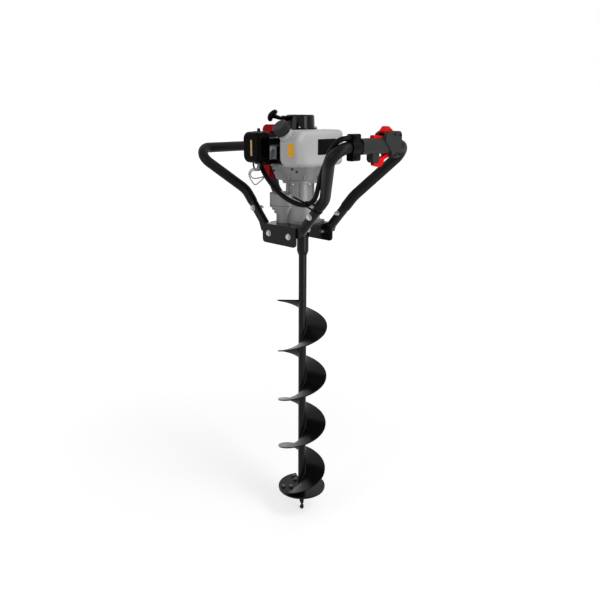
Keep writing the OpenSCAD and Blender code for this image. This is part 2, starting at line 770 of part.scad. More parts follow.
module gear_case_upper() {
    color("#b4b6b8") difference() {
        union() {
            translate([0, 0, case_split]) cylinder(r = output_gear_r + case_wall + 0.6, h = web_t);
            translate([lay_c[0], lay_c[1], case_split])
                cylinder(r = lay_wheel_r + case_wall, h = roof_z + roof_t - case_split);
            translate([input_c[0], input_c[1], case_split]) cylinder(r = neck_r, h = neck_top - case_split);
            translate([input_c[0], input_c[1], neck_top - 7]) cylinder(r = neck_flange_r, h = 7);
            for (a = [20:60:320]) translate([input_c[0], input_c[1], roof_z + 1]) rotate(a)
                translate([neck_r - 10, -2, 0]) cube([14, 4, neck_top - roof_z - 4]);
        }
        translate([lay_c[0], lay_c[1], case_split + web_t])
            cylinder(r = lay_wheel_r + 1, h = roof_z - case_split - web_t);
        translate([input_c[0], input_c[1], case_split + web_t]) cylinder(r = 12, h = neck_top);
        translate([lay_c[0], lay_c[1], case_split - 1]) cylinder(r = 14.5, h = web_t + 2);
        translate([lay_c[0], lay_c[1], roof_z - 1]) cylinder(d = 24 + 2 * seat_gap, h = roof_t - 0.5);
        translate([0, 0, case_split - 1]) cylinder(d = 32 + 2 * seat_gap, h = web_t - 0.5);
        for (z = [roof_z + 6, neck_top - 12]) translate([input_c[0], input_c[1], z])
            cylinder(d = 28 + 2 * seat_gap, h = 12 + (z > roof_z + 20 ? 1 : 0));
    }
}

module output_seal() {
    color("#2a2a2c") translate([0, 0, plate_top - 1]) ring(34, output_d + 2 * run_gap, 6.8);
}

// Ball bearing: two races with a groove between them on each face
module bearing(c, z, id, od, h) {
    mid = (id + od) / 4;
    translate([c[0], c[1], z]) difference() {
        ring(od, id + 2 * run_gap, h);
        for (s = [-1, h - 1]) translate([0, 0, s]) ring(2 * mid + 3, 2 * mid - 3, 2);
    }
}

module ball_bearings() {
    color("#c9ccd0") {
        bearing(output_c, plate_top + 8, output_d, 42, 11.5);
        bearing(output_c, case_split, output_d - 3, 32, 6.4);
        bearing(lay_c, plate_top + 8, lay_d, 28, 8);
        bearing(lay_c, roof_z, lay_d, 24, 6.4);
        bearing(input_c, roof_z + 6, drum_shaft_d, 28, 8);
        bearing(input_c, neck_top - 12, drum_shaft_d, 28, 8);
        bearing(input_c, crank_z + 2, crank_d, crank_bearing_d, 10);
        bearing(input_c, fan_z - 12, crank_d, crank_bearing_d, 10);
    }
}

pin_z = sleeve_top - 12;
output_tip = sleeve_top - 62;

module output_shaft() {
    color("#8d9094") difference() {
        union() {
            translate([0, 0, output_tip]) cylinder(d = output_d, h = low_gear_z + face_w - output_tip);
            translate([0, 0, output_tip]) cylinder(d = output_d - 3, h = case_split + 6 - output_tip);
        }
        rod([-30, 0, pin_z], [30, 0, pin_z], pin_d + 2 * seat_gap);
    }
}

module output_gear() {
    color("#7e8185") difference() {
        spur(output_c, low_gear_z, output_dir, output_teeth, -pinion_shift, output_d + 2 * seat_gap);
        for (a = [0:60:300]) rotate(a) translate([27, 0, low_gear_z - 1]) cylinder(d = 13, h = face_w + 2);
    }
}

// Shaft with the second pinion cut on it
module layshaft() {
    color("#85888c") {
        translate([lay_c[0], lay_c[1], plate_top + 8.5])
            cylinder(d = lay_d, h = roof_z + 6 - plate_top - 8.5);
        translate([lay_c[0], lay_c[1], low_gear_z - 0.5]) rotate(lay_turn)
            linear_extrude(face_w + 1) gear_outline(lay_pinion_teeth, pinion_shift);
    }
}

module layshaft_wheel() {
    color("#7e8185") difference() {
        spur(lay_c, high_gear_z, wheel_turn, lay_teeth, -pinion_shift, lay_d + 2 * seat_gap);
        for (a = [0:60:300]) translate([lay_c[0], lay_c[1], high_gear_z - 1]) rotate(a) translate([22, 0, 0])
            cylinder(d = 11, h = face_w + 2);
    }
}

// Clutch cup with its shaft and the first pinion
module clutch_drum() {
    color("#6f7276") translate([input_c[0], input_c[1], 0]) {
        translate([0, 0, drum_z]) difference() {
            cylinder(r = drum_r, h = drum_h);
            translate([0, 0, 4]) cylinder(r = drum_r - drum_wall, h = drum_h);
            for (a = [0:60:300]) rotate(a) translate([22, 0, -1]) cylinder(d = 9, h = 6);
        }
        translate([0, 0, roof_z]) cylinder(d = drum_shaft_d, h = drum_z + 4 - roof_z);
        translate([0, 0, high_gear_z - 0.5]) rotate(drum_turn)
            linear_extrude(roof_z - high_gear_z + 1) gear_outline(input_teeth, pinion_shift);
    }
}

module clutch_housing() {
    color("#b9bbbd") translate([input_c[0], input_c[1], 0]) difference() {
        union() {
            rotate_extrude() polygon([
                [0, neck_top], [neck_flange_r, neck_top], [bowl_r - 2, neck_top + 2], [bowl_r, neck_top + 4],
                [rim_r - 1, rim_z - 7], [rim_r, rim_z - 6], [rim_r, rim_z], [0, rim_z]
            ]);
            for (a = [-70:35:70]) rotate(a) translate([bowl_r - 4, -2, neck_top + 5]) cube([10, 4, 30]);
        }
        rotate_extrude() polygon([
            [0, neck_top + 4], [drum_r + 3, neck_top + 4], [bowl_r - 6, neck_top + 10],
            [rim_r - 6, rim_z - 9], [rim_r - 6, rim_z - 6], [crankcase_r - 2, rim_z - 6],
            [crankcase_r - 2, rim_z + 1], [0, rim_z + 1]
        ]);
        translate([0, 0, neck_top - 1]) cylinder(d = 20, h = 8);
    }
}

// Engine

shoe_z = drum_z + 6;
shoe_h = 16;
carrier_r = 13;

module clutch_shoes() {
    color("#7b5f46") translate([input_c[0], input_c[1], shoe_z]) for (a = [0, 180]) rotate(a + 15)
        rotate_extrude(angle = 150) translate([carrier_r + 0.2, 0])
            square([drum_r - drum_wall - carrier_r - 1.6, shoe_h]);
}

module crankshaft() {
    web = [[crank_z + 15, 9], [fan_z - 24, 9]];
    color("#8a8d91") translate([input_c[0], input_c[1], 0]) {
        translate([0, 0, shoe_z - 1]) cylinder(r = carrier_r, h = shoe_h + 2);
        translate([0, 0, shoe_z]) cylinder(d = crank_d, h = crank_z + 16 - shoe_z);
        translate([0, 0, fan_z - 16]) cylinder(d = crank_d, h = fan_h + 22);
        for (w = web) translate([0, 0, w[0]]) cylinder(r = 23, h = w[1]);
        translate([-14, 0, crank_z + 20]) cylinder(d = 12, h = fan_z - 20 - crank_z - 20);
    }
}

// Fan wheel with curved blades and a hub
module flywheel() {
    wheel_z = fan_z + 9;
    color("#9a9c9e") translate([input_c[0], input_c[1], wheel_z]) difference() {
        union() {
            cylinder(r = fan_r - 8, h = 6);
            cylinder(r = 13, h = fan_h - 15);
            for (a = [0:30:330]) rotate(a) translate([14, 0, 5]) rotate(25) cube([24, 2.5, 14]);
        }
        translate([0, 0, -1]) cylinder(d = crank_d + 2 * seat_gap, h = fan_h);
    }
}

module crankcase() {
    color("#aeb0b2") difference() {
        union() {
            translate([input_c[0], input_c[1], crank_z]) cylinder(r = crankcase_r, h = crankcase_h);
            translate([cylinder_x0, engine_y - foot_w / 2, crank_z + 4])
                cube([foot_l, foot_w, crankcase_h - 8]);
            for (a = [-100:40:100]) translate([input_c[0], input_c[1], crank_z + 1]) rotate(a)
                translate([crankcase_r - 2, 0, 0]) cylinder(d = 11, h = crankcase_h - 2);
        }
        translate([input_c[0], input_c[1], crank_z + 14]) cylinder(r = 31, h = crankcase_h - 28);
        for (z = [crank_z - 1, fan_z - 13])
            translate([input_c[0], input_c[1], z]) cylinder(d = crank_bearing_d + 2 * seat_gap, h = 14);
        translate([input_c[0], input_c[1], crank_z - 1]) cylinder(d = crank_d + 3, h = crankcase_h + 2);
    }
}

cylinder_x0 = -48;
// Foot of the cylinder on the crankcase
foot_l = 20;
foot_w = 54;
cylinder_l = 44;
barrel_r = 21;
fin_h = crankcase_h - 9;
port_w = 2 * (cylinder_x0 - port_x) - 0.4;

// Finned barrel lying along X with its two ports
module cylinder_block() {
    step = (cylinder_l - 8) / fin_count;
    translate([cylinder_x0, engine_y, cylinder_z]) rotate([0, -90, 0]) {
        cylinder(r = barrel_r, h = cylinder_l);
        plate(fin_h, 50, 4, 5);
        for (i = [1:fin_count]) translate([0, 0, 4 + i * step]) plate(fin_h, 2 * fin_r, 8, 2.2);
        cylinder(r = 12, h = cylinder_l + 4);
    }
    translate([port_x - port_w / 2, intake_y, cylinder_z - 14]) cube([port_w, exhaust_y - intake_y, 28]);
}

plug_x = cylinder_x0 - cylinder_l - 4;

module engine_cylinder() {
    color("#8f9193") cylinder_block();
}

module spark_plug() {
    color("#d7d4cb") translate([plug_x, engine_y, cylinder_z]) rotate([0, -90, 0]) {
        cylinder(d = 19, h = 7, $fn = 6);
        cylinder(d = 10, h = 20);
    }
}

module plug_cap() {
    color("#191a1b") translate([plug_x - 8, engine_y, cylinder_z]) rotate([0, -90, 0]) difference() {
        union() {
            cylinder(d = 18, h = 22);
            translate([0, 0, 15]) rotate([0, 90, 0]) cylinder(d = 12, h = 22);
        }
        translate([0, 0, -1]) cylinder(d = 10 + 2 * seat_gap, h = 14);
    }
}

shroud_x0 = -112;
shroud_y0 = engine_y - 40;
shroud_y1 = engine_y + 40;
shroud_t = 3;
// The skirt below the cylinder stays clear of the clutch housing's rim
shroud_skirt_x = -rim_r - 1;
// Openings that the intake and exhaust pass through, and the duct from the fan
window_top = fan_z + 29;
window_l = 60;
window_h = 44;
window_x = 24;
duct_rise = 40;

// Side outline of the cooling shroud, drawn in X and Z and drawn in by an inset
function shroud_outline(s) = concat(
    [[shroud_x0 + s, rim_z - 24]], arc([shroud_x0 + 18, fan_z + 30], 18 - s, 180, 90, 6),
    [[cylinder_x0 + 1 + s, fan_z + 48 - s], [cylinder_x0 + 1 + s, rim_z + 0.3 + s]],
    [[shroud_skirt_x - s, rim_z + 0.3 + s], [shroud_skirt_x - s, rim_z - 30]],
    [[shroud_skirt_x - 6 - s, rim_z - 49 + s], [shroud_x0 + 12 + s, rim_z - 49 + s]]
);

module cooling_shroud() {
    color("#b3161b") difference() {
        along_y(shroud_y0, shroud_y1) polygon(shroud_outline(0));
        along_y(shroud_y0 + shroud_t, shroud_y1 - shroud_t) polygon(shroud_outline(shroud_t));
        translate([cylinder_x0 - 6, shroud_y0 + shroud_t, rim_z + 0.3 + shroud_t])
            cube([foot_l, shroud_y1 - shroud_y0 - 2 * shroud_t, fan_z + duct_rise - rim_z]);
        translate([port_x - window_x, shroud_y0 - 1, cylinder_z - window_h / 2])
            cube([window_l, engine_y - shroud_y0, window_top - cylinder_z + window_h / 2]);
        translate([port_x - window_x, engine_y, cylinder_z - window_h / 2])
            cube([window_l, shroud_y1 - engine_y + 1, window_h]);
        translate([shroud_x0 - 1, engine_y, cylinder_z]) rotate([0, 90, 0]) cylinder(d = 30, h = 10);
    }
}

module fan_housing() {
    color("#2b2c2e") translate([input_c[0], input_c[1], fan_z]) difference() {
        cylinder(r = fan_r, h = fan_h);
        translate([0, 0, 4]) cylinder(r = fan_r - 3, h = fan_h);
        translate([0, 0, -1]) cylinder(d = crank_d + 3, h = 10);
        translate([-fan_r - 1, -20, 8]) cube([30, 40, fan_h - 14]);
    }
}

module starter_housing() {
    color("#101112") difference() {
        union() {
            translate([input_c[0], input_c[1], starter_z]) cylinder(r = fan_r, h = 3);
            translate([input_c[0], input_c[1], starter_z])
                cylinder(r1 = starter_r + 1.5, r2 = starter_r, h = starter_h - 3);
            translate([input_c[0], input_c[1], starter_top - 3 - eps])
                cylinder(r1 = starter_r, r2 = starter_r - 3, h = 3 + eps);
            rod([rope_x, engine_y - 20, rope_z], [rope_x, guide_y, rope_z], 15);
        }
        translate([input_c[0], input_c[1], starter_z - 1]) cylinder(r = starter_r - 4, h = starter_h - 3);
        rod([rope_x, engine_y, rope_z], [rope_x, guide_y - 1, rope_z], rope_d + 3);
        for (a = [0:40:320]) translate([input_c[0], input_c[1], starter_top - 5]) rotate(a)
            translate([14, -2, 0]) cube([14, 4, 8]);
    }
    color("#101112") translate([input_c[0], input_c[1], starter_top - 16]) cylinder(d = 8, h = 13);
}

reel_r = -rope_x - rope_d / 2;

module starter_reel() {
    color("#d8d3c4") translate([input_c[0], input_c[1], rope_z]) difference() {
        union() {
            translate([0, 0, -6]) cylinder(r = reel_r + 8, h = 2.5);
            translate([0, 0, -6]) cylinder(r = reel_r - 0.5, h = 11);
            translate([0, 0, 3]) cylinder(r = reel_r + 8, h = 2.5);
        }
        translate([0, 0, -10]) cylinder(d = 8 + 2 * run_gap, h = 20);
    }
}

handle_l = 46;
handle_d = 20;
stem_l = 38;

// Half of the handle's bar from its waist to its round end, as radius and distance
bar_profile = [[0.42, 0], [0.45, 0.22], [0.5, 0.36], [0.46, 0.42], [0.35, 0.47], [0.18, 0.495]];
function bar_half(s) = [for (p = bar_profile) [p[0] * handle_d, s * p[1] * handle_l]];

module starter_handle() {
    y = guide_y - clear_gap;
    up = bar_half(1);
    down = bar_half(-1);
    color("#1a1b1c") difference() {
        union() {
            translate([rope_x, y, rope_z]) rotate([90, 0, 0]) cylinder(d1 = 12, d2 = 13, h = stem_l);
            translate([rope_x, y - stem_l - 3, rope_z]) rotate([0, 48, 0]) rotate_extrude() polygon(concat(
                [[0, down[5][1]]], [for (i = [5:-1:1]) down[i]], up, [[0, up[5][1]]]));
        }
        rod([rope_x, y - 30, rope_z], [rope_x, y + 1, rope_z], rope_d + 2 * seat_gap);
    }
}

module starter_rope() {
    color("#d9d9d4") rod([rope_x, guide_y - 30, rope_z], [rope_x, engine_y + 6, rope_z], rope_d);
}

module insulator() {
    color("#202122") translate([port_x - 1, carb_back, cylinder_z]) rotate([-90, 0, 0]) difference() {
        plate(30, 34, 6, insulator_t);
        translate([0, 0, -1]) cylinder(d = bore_d, h = insulator_t + 2);
    }
}

arm_z = cylinder_z + 6;
arm_y = carb_back - 18;
arm_x = port_x + carb_w / 2;

module carburettor() {
    front = filter_back + base_t;
    color("#c4c6c8") difference() {
        union() {
            translate([port_x - 1, front, cylinder_z]) rotate([-90, 0, 0])
                plate(carb_w, carb_h, 5, carb_back - front);
            translate([port_x - 1, front + 8, cylinder_z]) rotate([-90, 0, 0])
                plate(carb_w - 6, carb_h + 12, 5, carb_back - front - 16);
        }
        translate([port_x - 1, front - 1, cylinder_z]) rotate([-90, 0, 0]) cylinder(d = bore_d, h = 80);
        rod([arm_x - 8, arm_y, arm_z], [arm_x + 2, arm_y, arm_z], 6 + 2 * run_gap);
    }
}

// Lever on the carburettor that the cable pulls
module throttle_arm() {
    color("#d0d2d4") {
        rod([arm_x - 6, arm_y, arm_z], [arm_x + 1, arm_y, arm_z], 6);
        along_x(arm_x - 1 + clear_gap, arm_x + 1.6 + clear_gap) polygon(concat(
            arc([arm_y, arm_z], 6, 0, 180, 8), arc([arm_y - 3, arm_z - 15], 4, 180, 360, 6)));
    }
}

module filter_base() {
    color("#161718") difference() {
        translate([filter_x, filter_back + base_t, filter_z]) rotate([90, 0, 0])
            plate(filter_w - 2, filter_h - 2, 11, base_t);
        translate([port_x - 1, filter_back - 1, cylinder_z]) rotate([-90, 0, 0])
            cylinder(d = bore_d, h = base_t + 2);
        translate([choke_x, filter_back - 1, choke_z]) rotate([-90, 0, 0])
            cylinder(d = choke_pin_d + 2 * run_gap, h = base_t + 2);
    }
}

module filter_element() {
    color("#3f4a3c") translate([filter_x, filter_back - 0.1, filter_z]) rotate([90, 0, 0]) difference() {
        plate(filter_w - 16, filter_h - 16, 8, filter_d - 8);
        translate([0, 0, -1]) plate(filter_w - 36, filter_h - 36, 6, 8);
    }
}

// Filter cover: a box with round edges, open at its back
module filter_cover() {
    r = 9;
    w = filter_w / 2 - r;
    h = filter_h / 2 - r;
    color("#121314") difference() {
        translate([filter_x, filter_back, filter_z]) hull() for (x = [-w, w]) for (z = [-h, h]) {
            translate([x, r - filter_d, z]) sphere(r = r, $fn = 24);
            translate([x, -0.1, z]) rotate([90, 0, 0]) cylinder(r = r, h = 2, $fn = 24);
        }
        translate([filter_x, filter_back + 1, filter_z]) rotate([90, 0, 0])
            plate(filter_w - 6, filter_h - 6, 7, filter_d - 3);
    }
}

choke_x = filter_x - 10;
choke_pin_d = 5;
choke_l = 13;
choke_z = filter_z + filter_h / 2 - 9;

module choke_lever() {
    front = filter_back + base_t + clear_gap;
    color("#1b1c1d") {
        rod([choke_x, filter_back + 1, choke_z], [choke_x, front + 4, choke_z], choke_pin_d);
        along_y(front, front + 4) polygon(concat(
            arc([choke_x, choke_z], 6, 180, 360, 8), arc([choke_x - 3, choke_z + choke_l], 4.5, 0, 180, 6)));
    }
}

muffler_x = port_x - 4;
muffler_z = cylinder_z + 2;
muffler_h = 54;
muffler_w = 44;
seam = 2.5;
outlet_reach = 12;
outlet_x = muffler_x - muffler_l / 2 - outlet_reach;
outlet_z = muffler_z - 16;
outlet_y = exhaust_y + 32;

module muffler() {
    color("#77787a") difference() {
        union() {
            translate([muffler_x, exhaust_y, muffler_z]) rotate([-90, 0, 0])
                plate(muffler_l, muffler_h, 12, muffler_w);
            translate([muffler_x, exhaust_y + 20, muffler_z]) rotate([-90, 0, 0])
                plate(muffler_l + 2 * seam, muffler_h + seam, 14, 3);
            rod([muffler_x, outlet_y, outlet_z], [outlet_x, outlet_y, outlet_z], outlet_d + 3);
            for (z = [-14, 0, 14])
                translate([muffler_x - 20, exhaust_y + muffler_w - 1, muffler_z + z - 2.5]) cube([40, 3, 5]);
        }
        rod([muffler_x - muffler_l / 2 + 4, outlet_y, outlet_z], [outlet_x - 1, outlet_y, outlet_z],
            outlet_d);
    }
}

// Tank with round edges and a slanted filler face towards the near side
module fuel_tank() {
    x0 = tank_x + tank_r;
    x1 = tank_x + tank_w - tank_r;
    y0 = tank_near_y + tank_r;
    y1 = tank_far_y - tank_r;
    z0 = tank_z + tank_r;
    z1 = tank_top - tank_r;
    corners = [[y0, z0], [y1, z0], [y1, z1], [y0 + filler_cut, z1], [y0, z1 - filler_cut]];
    color("#a6a8aa") difference() {
        union() {
            hull() for (x = [x0, x1]) for (c = corners)
                translate([x, c[0], c[1]]) sphere(r = tank_r, $fn = 24);
            on_filler() translate([0, 0, -neck_root]) cylinder(d = neck_d, h = neck_root + neck_h);
        }
        on_filler() translate([0, 0, -30]) cylinder(d = neck_d - 6, h = 30 + neck_h + 1);
    }
}

cap_x = tank_x + 18;
cap_h = 24;
neck_h = 29;
neck_root = 12;
filler_cut = 15.6;
filler_y = tank_near_y + tank_r + filler_cut / 2 - tank_r * sin(45);
filler_z = tank_top - tank_r - filler_cut / 2 + tank_r * sin(45);

// Local Z runs out of the filler face's middle
module on_filler() {
    translate([cap_x, filler_y, filler_z]) rotate([45, 0, 0]) children();
}

// Screw cap with grip ribs round its skirt
module fuel_cap() {
    seat = neck_h + clear_gap;
    rim = cap_d / 2 - 1.2;
    bore = neck_d / 2 + clear_gap;
    top = seat + 6;
    low = top - cap_h;
    color("#2d2e30") on_filler() {
        rotate_extrude() polygon([
            [0, seat], [bore, seat], [bore, low], [rim, low], [rim, top - 2], [rim - 3, top], [0, top]
        ]);
        for (a = [0:18:342]) rotate(a) translate([rim, 0, low + 1]) cylinder(d = 2.4, h = cap_h - 4);
    }
}

// Bit

module bit_sleeve() {
    color("#1d1e20") difference() {
        union() {
            translate([0, 0, sleeve_z + 12]) cylinder(d = sleeve_d, h = sleeve_l - 12);
            translate([0, 0, sleeve_z]) cylinder(d1 = sleeve_d - 8, d2 = sleeve_d, h = 12 + eps);
        }
        translate([0, 0, output_tip - 1]) cylinder(d = output_d + 2 * seat_gap, h = sleeve_l);
        translate([0, 0, sleeve_z - 1]) cylinder(d = shank_d + 2 * seat_gap, h = output_tip - 4 - sleeve_z);
        rod([-30, 0, pin_z], [30, 0, pin_z], pin_d + 2 * seat_gap);
    }
}

module coupling_pin() {
    reach = sleeve_d / 2 + 4;
    color("#b5b8bb") {
        rod([-reach, 0, pin_z], [reach, 0, pin_z], pin_d);
        rod([reach, 0, pin_z], [reach + 4, 0, pin_z], pin_d + 5);
    }
}

module auger_tube() {
    low = disc_z + disc_t + seat_gap;
    color("#1a1b1d") translate([0, 0, low]) ring(shank_d, shank_d - 7, output_tip - 5.1 - low);
}

// One turn of flighting between two heights, its top face a screw surface
turn_steps = 40;
flight_top_angle = 225;
function flight_angle(z) = flight_top_angle - 360 * (flight_top - z) / flight_pitch;

module flight_turn(z0, z1) {
    inner = (shank_d / 2 + seat_gap) / cos(180 / turn_steps);
    outer = bit_d / 2;
    n = max(6, round(turn_steps * (z1 - z0) / flight_pitch));
    points = [for (i = [0:n]) let (z = z0 + (z1 - z0) * i / n, a = flight_angle(z)) each [
        [inner * cos(a), inner * sin(a), z - flight_t], [outer * cos(a), outer * sin(a), z - flight_t * 0.7],
        [outer * cos(a), outer * sin(a), z - flight_t * 0.05], [inner * cos(a), inner * sin(a), z]
    ]];
    walls = [for (i = [0:n - 1]) for (s = [0:3]) let (e = (s + 1) % 4)
        each [[4 * i + s, 4 * i + e, 4 * i + 4 + e], [4 * i + s, 4 * i + 4 + e, 4 * i + 4 + s]]];
    polyhedron(points, concat(walls, [[3, 2, 1, 0], [4 * n, 4 * n + 1, 4 * n + 2, 4 * n + 3]]));
}

joint_gap = 0.3;
function turn_top(i) = flight_top - (i - 1) * flight_pitch - (i > 1 ? joint_gap : 0);
flight_low = flight_z + flight_t + joint_gap;
last_turn = 4;
function turn_bottom(i) = i == last_turn ? flight_low : max(flight_low, flight_top - i * flight_pitch);

module flight_turn_1() {
    color("#202123") flight_turn(turn_bottom(1), turn_top(1));
}

module flight_turn_2() {
    color("#202123") flight_turn(turn_bottom(2), turn_top(2));
}

module flight_turn_3() {
    color("#202123") flight_turn(turn_bottom(3), turn_top(3));
}

module flight_turn_4() {
    color("#202123") flight_turn(turn_bottom(4), turn_top(4));
}

// Angles at the disc: the flighting's lower edge, the two blades and the gap before the first blade
disc_turn = flight_angle(flight_z);
blade_turns = [disc_turn - 111, disc_turn - 38];
gap_turn = blade_turns[0] - disc_gap;

disc_hub_r = shank_d / 2 + 2;

module cutter_disc() {
    opening = concat(arc([0, 0], disc_hub_r, 0, disc_gap, 6), arc([0, 0], bit_d, disc_gap, 0, 6));
    hole = blade_bolt_d + 2 * seat_gap;
    color("#232426") difference() {
        translate([0, 0, disc_z]) cylinder(d = bit_d, h = disc_t);
        translate([0, 0, disc_z - 1]) rotate(gap_turn) linear_extrude(disc_t + 2) polygon(opening);
        for (p = blade_bolt_points()) translate([p[0], p[1], disc_z - 1]) cylinder(d = hole, h = disc_t + 2);
    }
}

blade_t = 6;
blade_bolt_d = 8;
function blade_bolt_points() = [for (a = blade_turns) for (r = [34, 58]) [
    r * cos(a) - (blade_w / 2 + 1) * sin(a), r * sin(a) + (blade_w / 2 + 1) * cos(a)]];

// Bevelled blades under the disc
module cutter_blades() {
    color("#5a5c60") difference() {
        for (a = blade_turns) rotate(a) translate([22, 0, disc_z - blade_t]) rotate([90, 0, 90])
            linear_extrude(blade_l) polygon([[-6, 0], [blade_w, 1.5], [blade_w, blade_t], [1, blade_t]]);
        for (p = blade_bolt_points()) translate([p[0], p[1], disc_z - blade_t - 2])
            cylinder(d = blade_bolt_d + 2 * seat_gap, h = blade_t + 4);
    }
}

module blade_bolts() {
    color("#2e2f31") for (p = blade_bolt_points())
        translate([p[0], p[1], disc_z + disc_t]) rotate([180, 0, 0]) bolt(blade_bolt_d, disc_t + 11, false);
}

// Two-lobed pilot, twisted like the flighting and drawn to a point
module pilot_screw() {
    color("#1f2022") {
        translate([0, 0, disc_z - 10]) rotate([180, 0, 0])
            linear_extrude(disc_z - 10, twist = -400, scale = 0.12, slices = 22) pilot_section();
        translate([0, 0, disc_z - 10.5]) cylinder(d = shank_d - 8, h = 10.4);
    }
}

module pilot_section() {
    polygon(concat(arc([pilot_w / 2 - 3, 0], 3, -60, 60, 3), arc([0, 0], pilot_w / 4.2, 50, 130, 2),
        arc([3 - pilot_w / 2, 0], 3, 120, 240, 3), arc([0, 0], pilot_w / 4.2, 230, 310, 2)));
}

bracket();
gearbox_bolts();
frame_bolts();
leg_sockets();
left_handlebar();
right_handlebar();
grip_sleeves();
throttle_housing_inner();
throttle_housing_outer();
throttle_clamp();
throttle_trigger();
lockout_lever();
stop_switch();
throttle_conduit();
conduit_ties();
stop_wires();
gear_case_lower();
gear_case_upper();
output_seal();
ball_bearings();
output_shaft();
output_gear();
layshaft();
layshaft_wheel();
clutch_drum();
clutch_housing();
clutch_shoes();
crankshaft();
flywheel();
crankcase();
engine_cylinder();
spark_plug();
plug_cap();
cooling_shroud();
fan_housing();
starter_housing();
starter_reel();
starter_handle();
starter_rope();
insulator();
carburettor();
throttle_arm();
filter_base();
filter_element();
filter_cover();
choke_lever();
muffler();
fuel_tank();
fuel_cap();
bit_sleeve();
coupling_pin();
auger_tube();
flight_turn_1();
flight_turn_2();
flight_turn_3();
flight_turn_4();
cutter_disc();
cutter_blades();
blade_bolts();
pilot_screw();
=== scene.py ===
"""Looks of an earth auger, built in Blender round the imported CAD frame.

The frame gives every solid its place. This script adds the smooth mouldings, cords and small
fittings, finishes each surface with procedural materials, and sets the camera, floor and light.
"""

from __future__ import annotations

import json
import logging
import math
from collections.abc import Callable, Iterable, Mapping, Sequence
from contextlib import contextmanager
from dataclasses import dataclass
from enum import Enum

import bmesh
import bpy
from mathutils import Matrix, Vector


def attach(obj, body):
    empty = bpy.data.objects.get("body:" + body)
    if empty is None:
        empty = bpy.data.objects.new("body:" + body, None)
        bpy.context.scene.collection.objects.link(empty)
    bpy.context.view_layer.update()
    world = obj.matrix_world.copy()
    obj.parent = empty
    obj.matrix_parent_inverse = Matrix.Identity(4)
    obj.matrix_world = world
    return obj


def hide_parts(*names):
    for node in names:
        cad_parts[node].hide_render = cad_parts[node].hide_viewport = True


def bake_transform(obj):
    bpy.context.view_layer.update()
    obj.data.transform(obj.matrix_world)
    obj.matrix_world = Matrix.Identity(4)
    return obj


log = logging.getLogger("earth_auger")

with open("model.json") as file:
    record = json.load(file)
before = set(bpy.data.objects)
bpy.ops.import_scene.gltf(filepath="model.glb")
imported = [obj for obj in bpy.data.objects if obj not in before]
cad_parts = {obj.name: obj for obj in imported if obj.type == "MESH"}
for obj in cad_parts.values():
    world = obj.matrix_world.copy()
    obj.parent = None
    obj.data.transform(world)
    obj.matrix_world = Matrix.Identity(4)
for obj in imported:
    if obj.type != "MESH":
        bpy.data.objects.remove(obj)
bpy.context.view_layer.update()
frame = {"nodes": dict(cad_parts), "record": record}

Piece = bpy.types.Object
Tree = bpy.types.NodeTree
Pair = tuple[float, float]
Point = tuple[float, float, float]
Color = tuple[float, float, float]
Place = tuple[Point, Point]
Test = Callable[[Vector, Vector], bool]

MM_PER_M = 1000
UP: Point = (0, 0, 1)
OUT: Point = (1, 0, 0)
# Least share of a normal that counts as facing a direction, and slack for picking by place
FACING = 0.9
SLACK = 1e-5
# Sockets of a colour mix
MIX_A, MIX_B, MIX_RESULT = 6, 7, 2


class Surface(Enum):
    """How a finish breaks up its light."""

    PEEL = "powder coat"
    CAST = "cast grain"
    MOULD = "moulded texture"
    BRUSH = "brushed lines"
    WEAVE = "braid"


STRETCH = {Surface.BRUSH: (1.0, 1.0, 0.06), Surface.WEAVE: (1.0, 0.35, 1.0)}
BLOTCH_SCALE = {Surface.CAST: 45.0}


# Shader groups


def new_group(name: str, inputs: Mapping[str, float], outputs: Sequence[str]) -> Tree:
    """Starts a shader node group with a Vector input.

    Args:
        name: Name of the group.
        inputs: Name and starting value of each further input.
        outputs: Names of the outputs, all numbers.

    Returns:
        The group's tree, with its input and output nodes in place.
    """
    tree = bpy.data.node_groups.new(name, "ShaderNodeTree")
    tree.interface.new_socket("Vector", in_out="INPUT", socket_type="NodeSocketVector")
    for label, value in inputs.items():
        socket = tree.interface.new_socket(label, in_out="INPUT", socket_type="NodeSocketFloat")
        socket.default_value = value
    for label in outputs:
        tree.interface.new_socket(label, in_out="OUTPUT", socket_type="NodeSocketFloat")
    tree.nodes.new("NodeGroupInput").name = "in"
    tree.nodes.new("NodeGroupOutput").name = "out"
    return tree


def wire(tree: Tree, *links: tuple[str, str | int, str, str | int]) -> None:
    """Links outputs to inputs, each link as node and socket of its start and of its end."""
    for start, socket, end, into in links:
        tree.links.new(tree.nodes[start].outputs[socket], tree.nodes[end].inputs[into])


def preset(node: bpy.types.Node, values: Mapping[str | int, object]) -> None:
    """Sets the starting values of a node's inputs."""
    for socket, value in values.items():
        node.inputs[socket].default_value = value


def add_node(tree: Tree, kind: str, name: str, presets: Mapping[str | int, object] | None = None,
             **values: object) -> bpy.types.Node:
    """Adds a node.

    Args:
        tree: Tree to add to.
        kind: Blender's shader node type, without its prefix.
        name: Name that wire() uses.
        presets: Starting values of its inputs.
        values: Properties of the node.

    Returns:
        The node.
    """
    node = tree.nodes.new("ShaderNode" + kind)
    node.name = name
    for key, value in values.items():
        setattr(node, key, value)
    preset(node, presets or {})
    return node


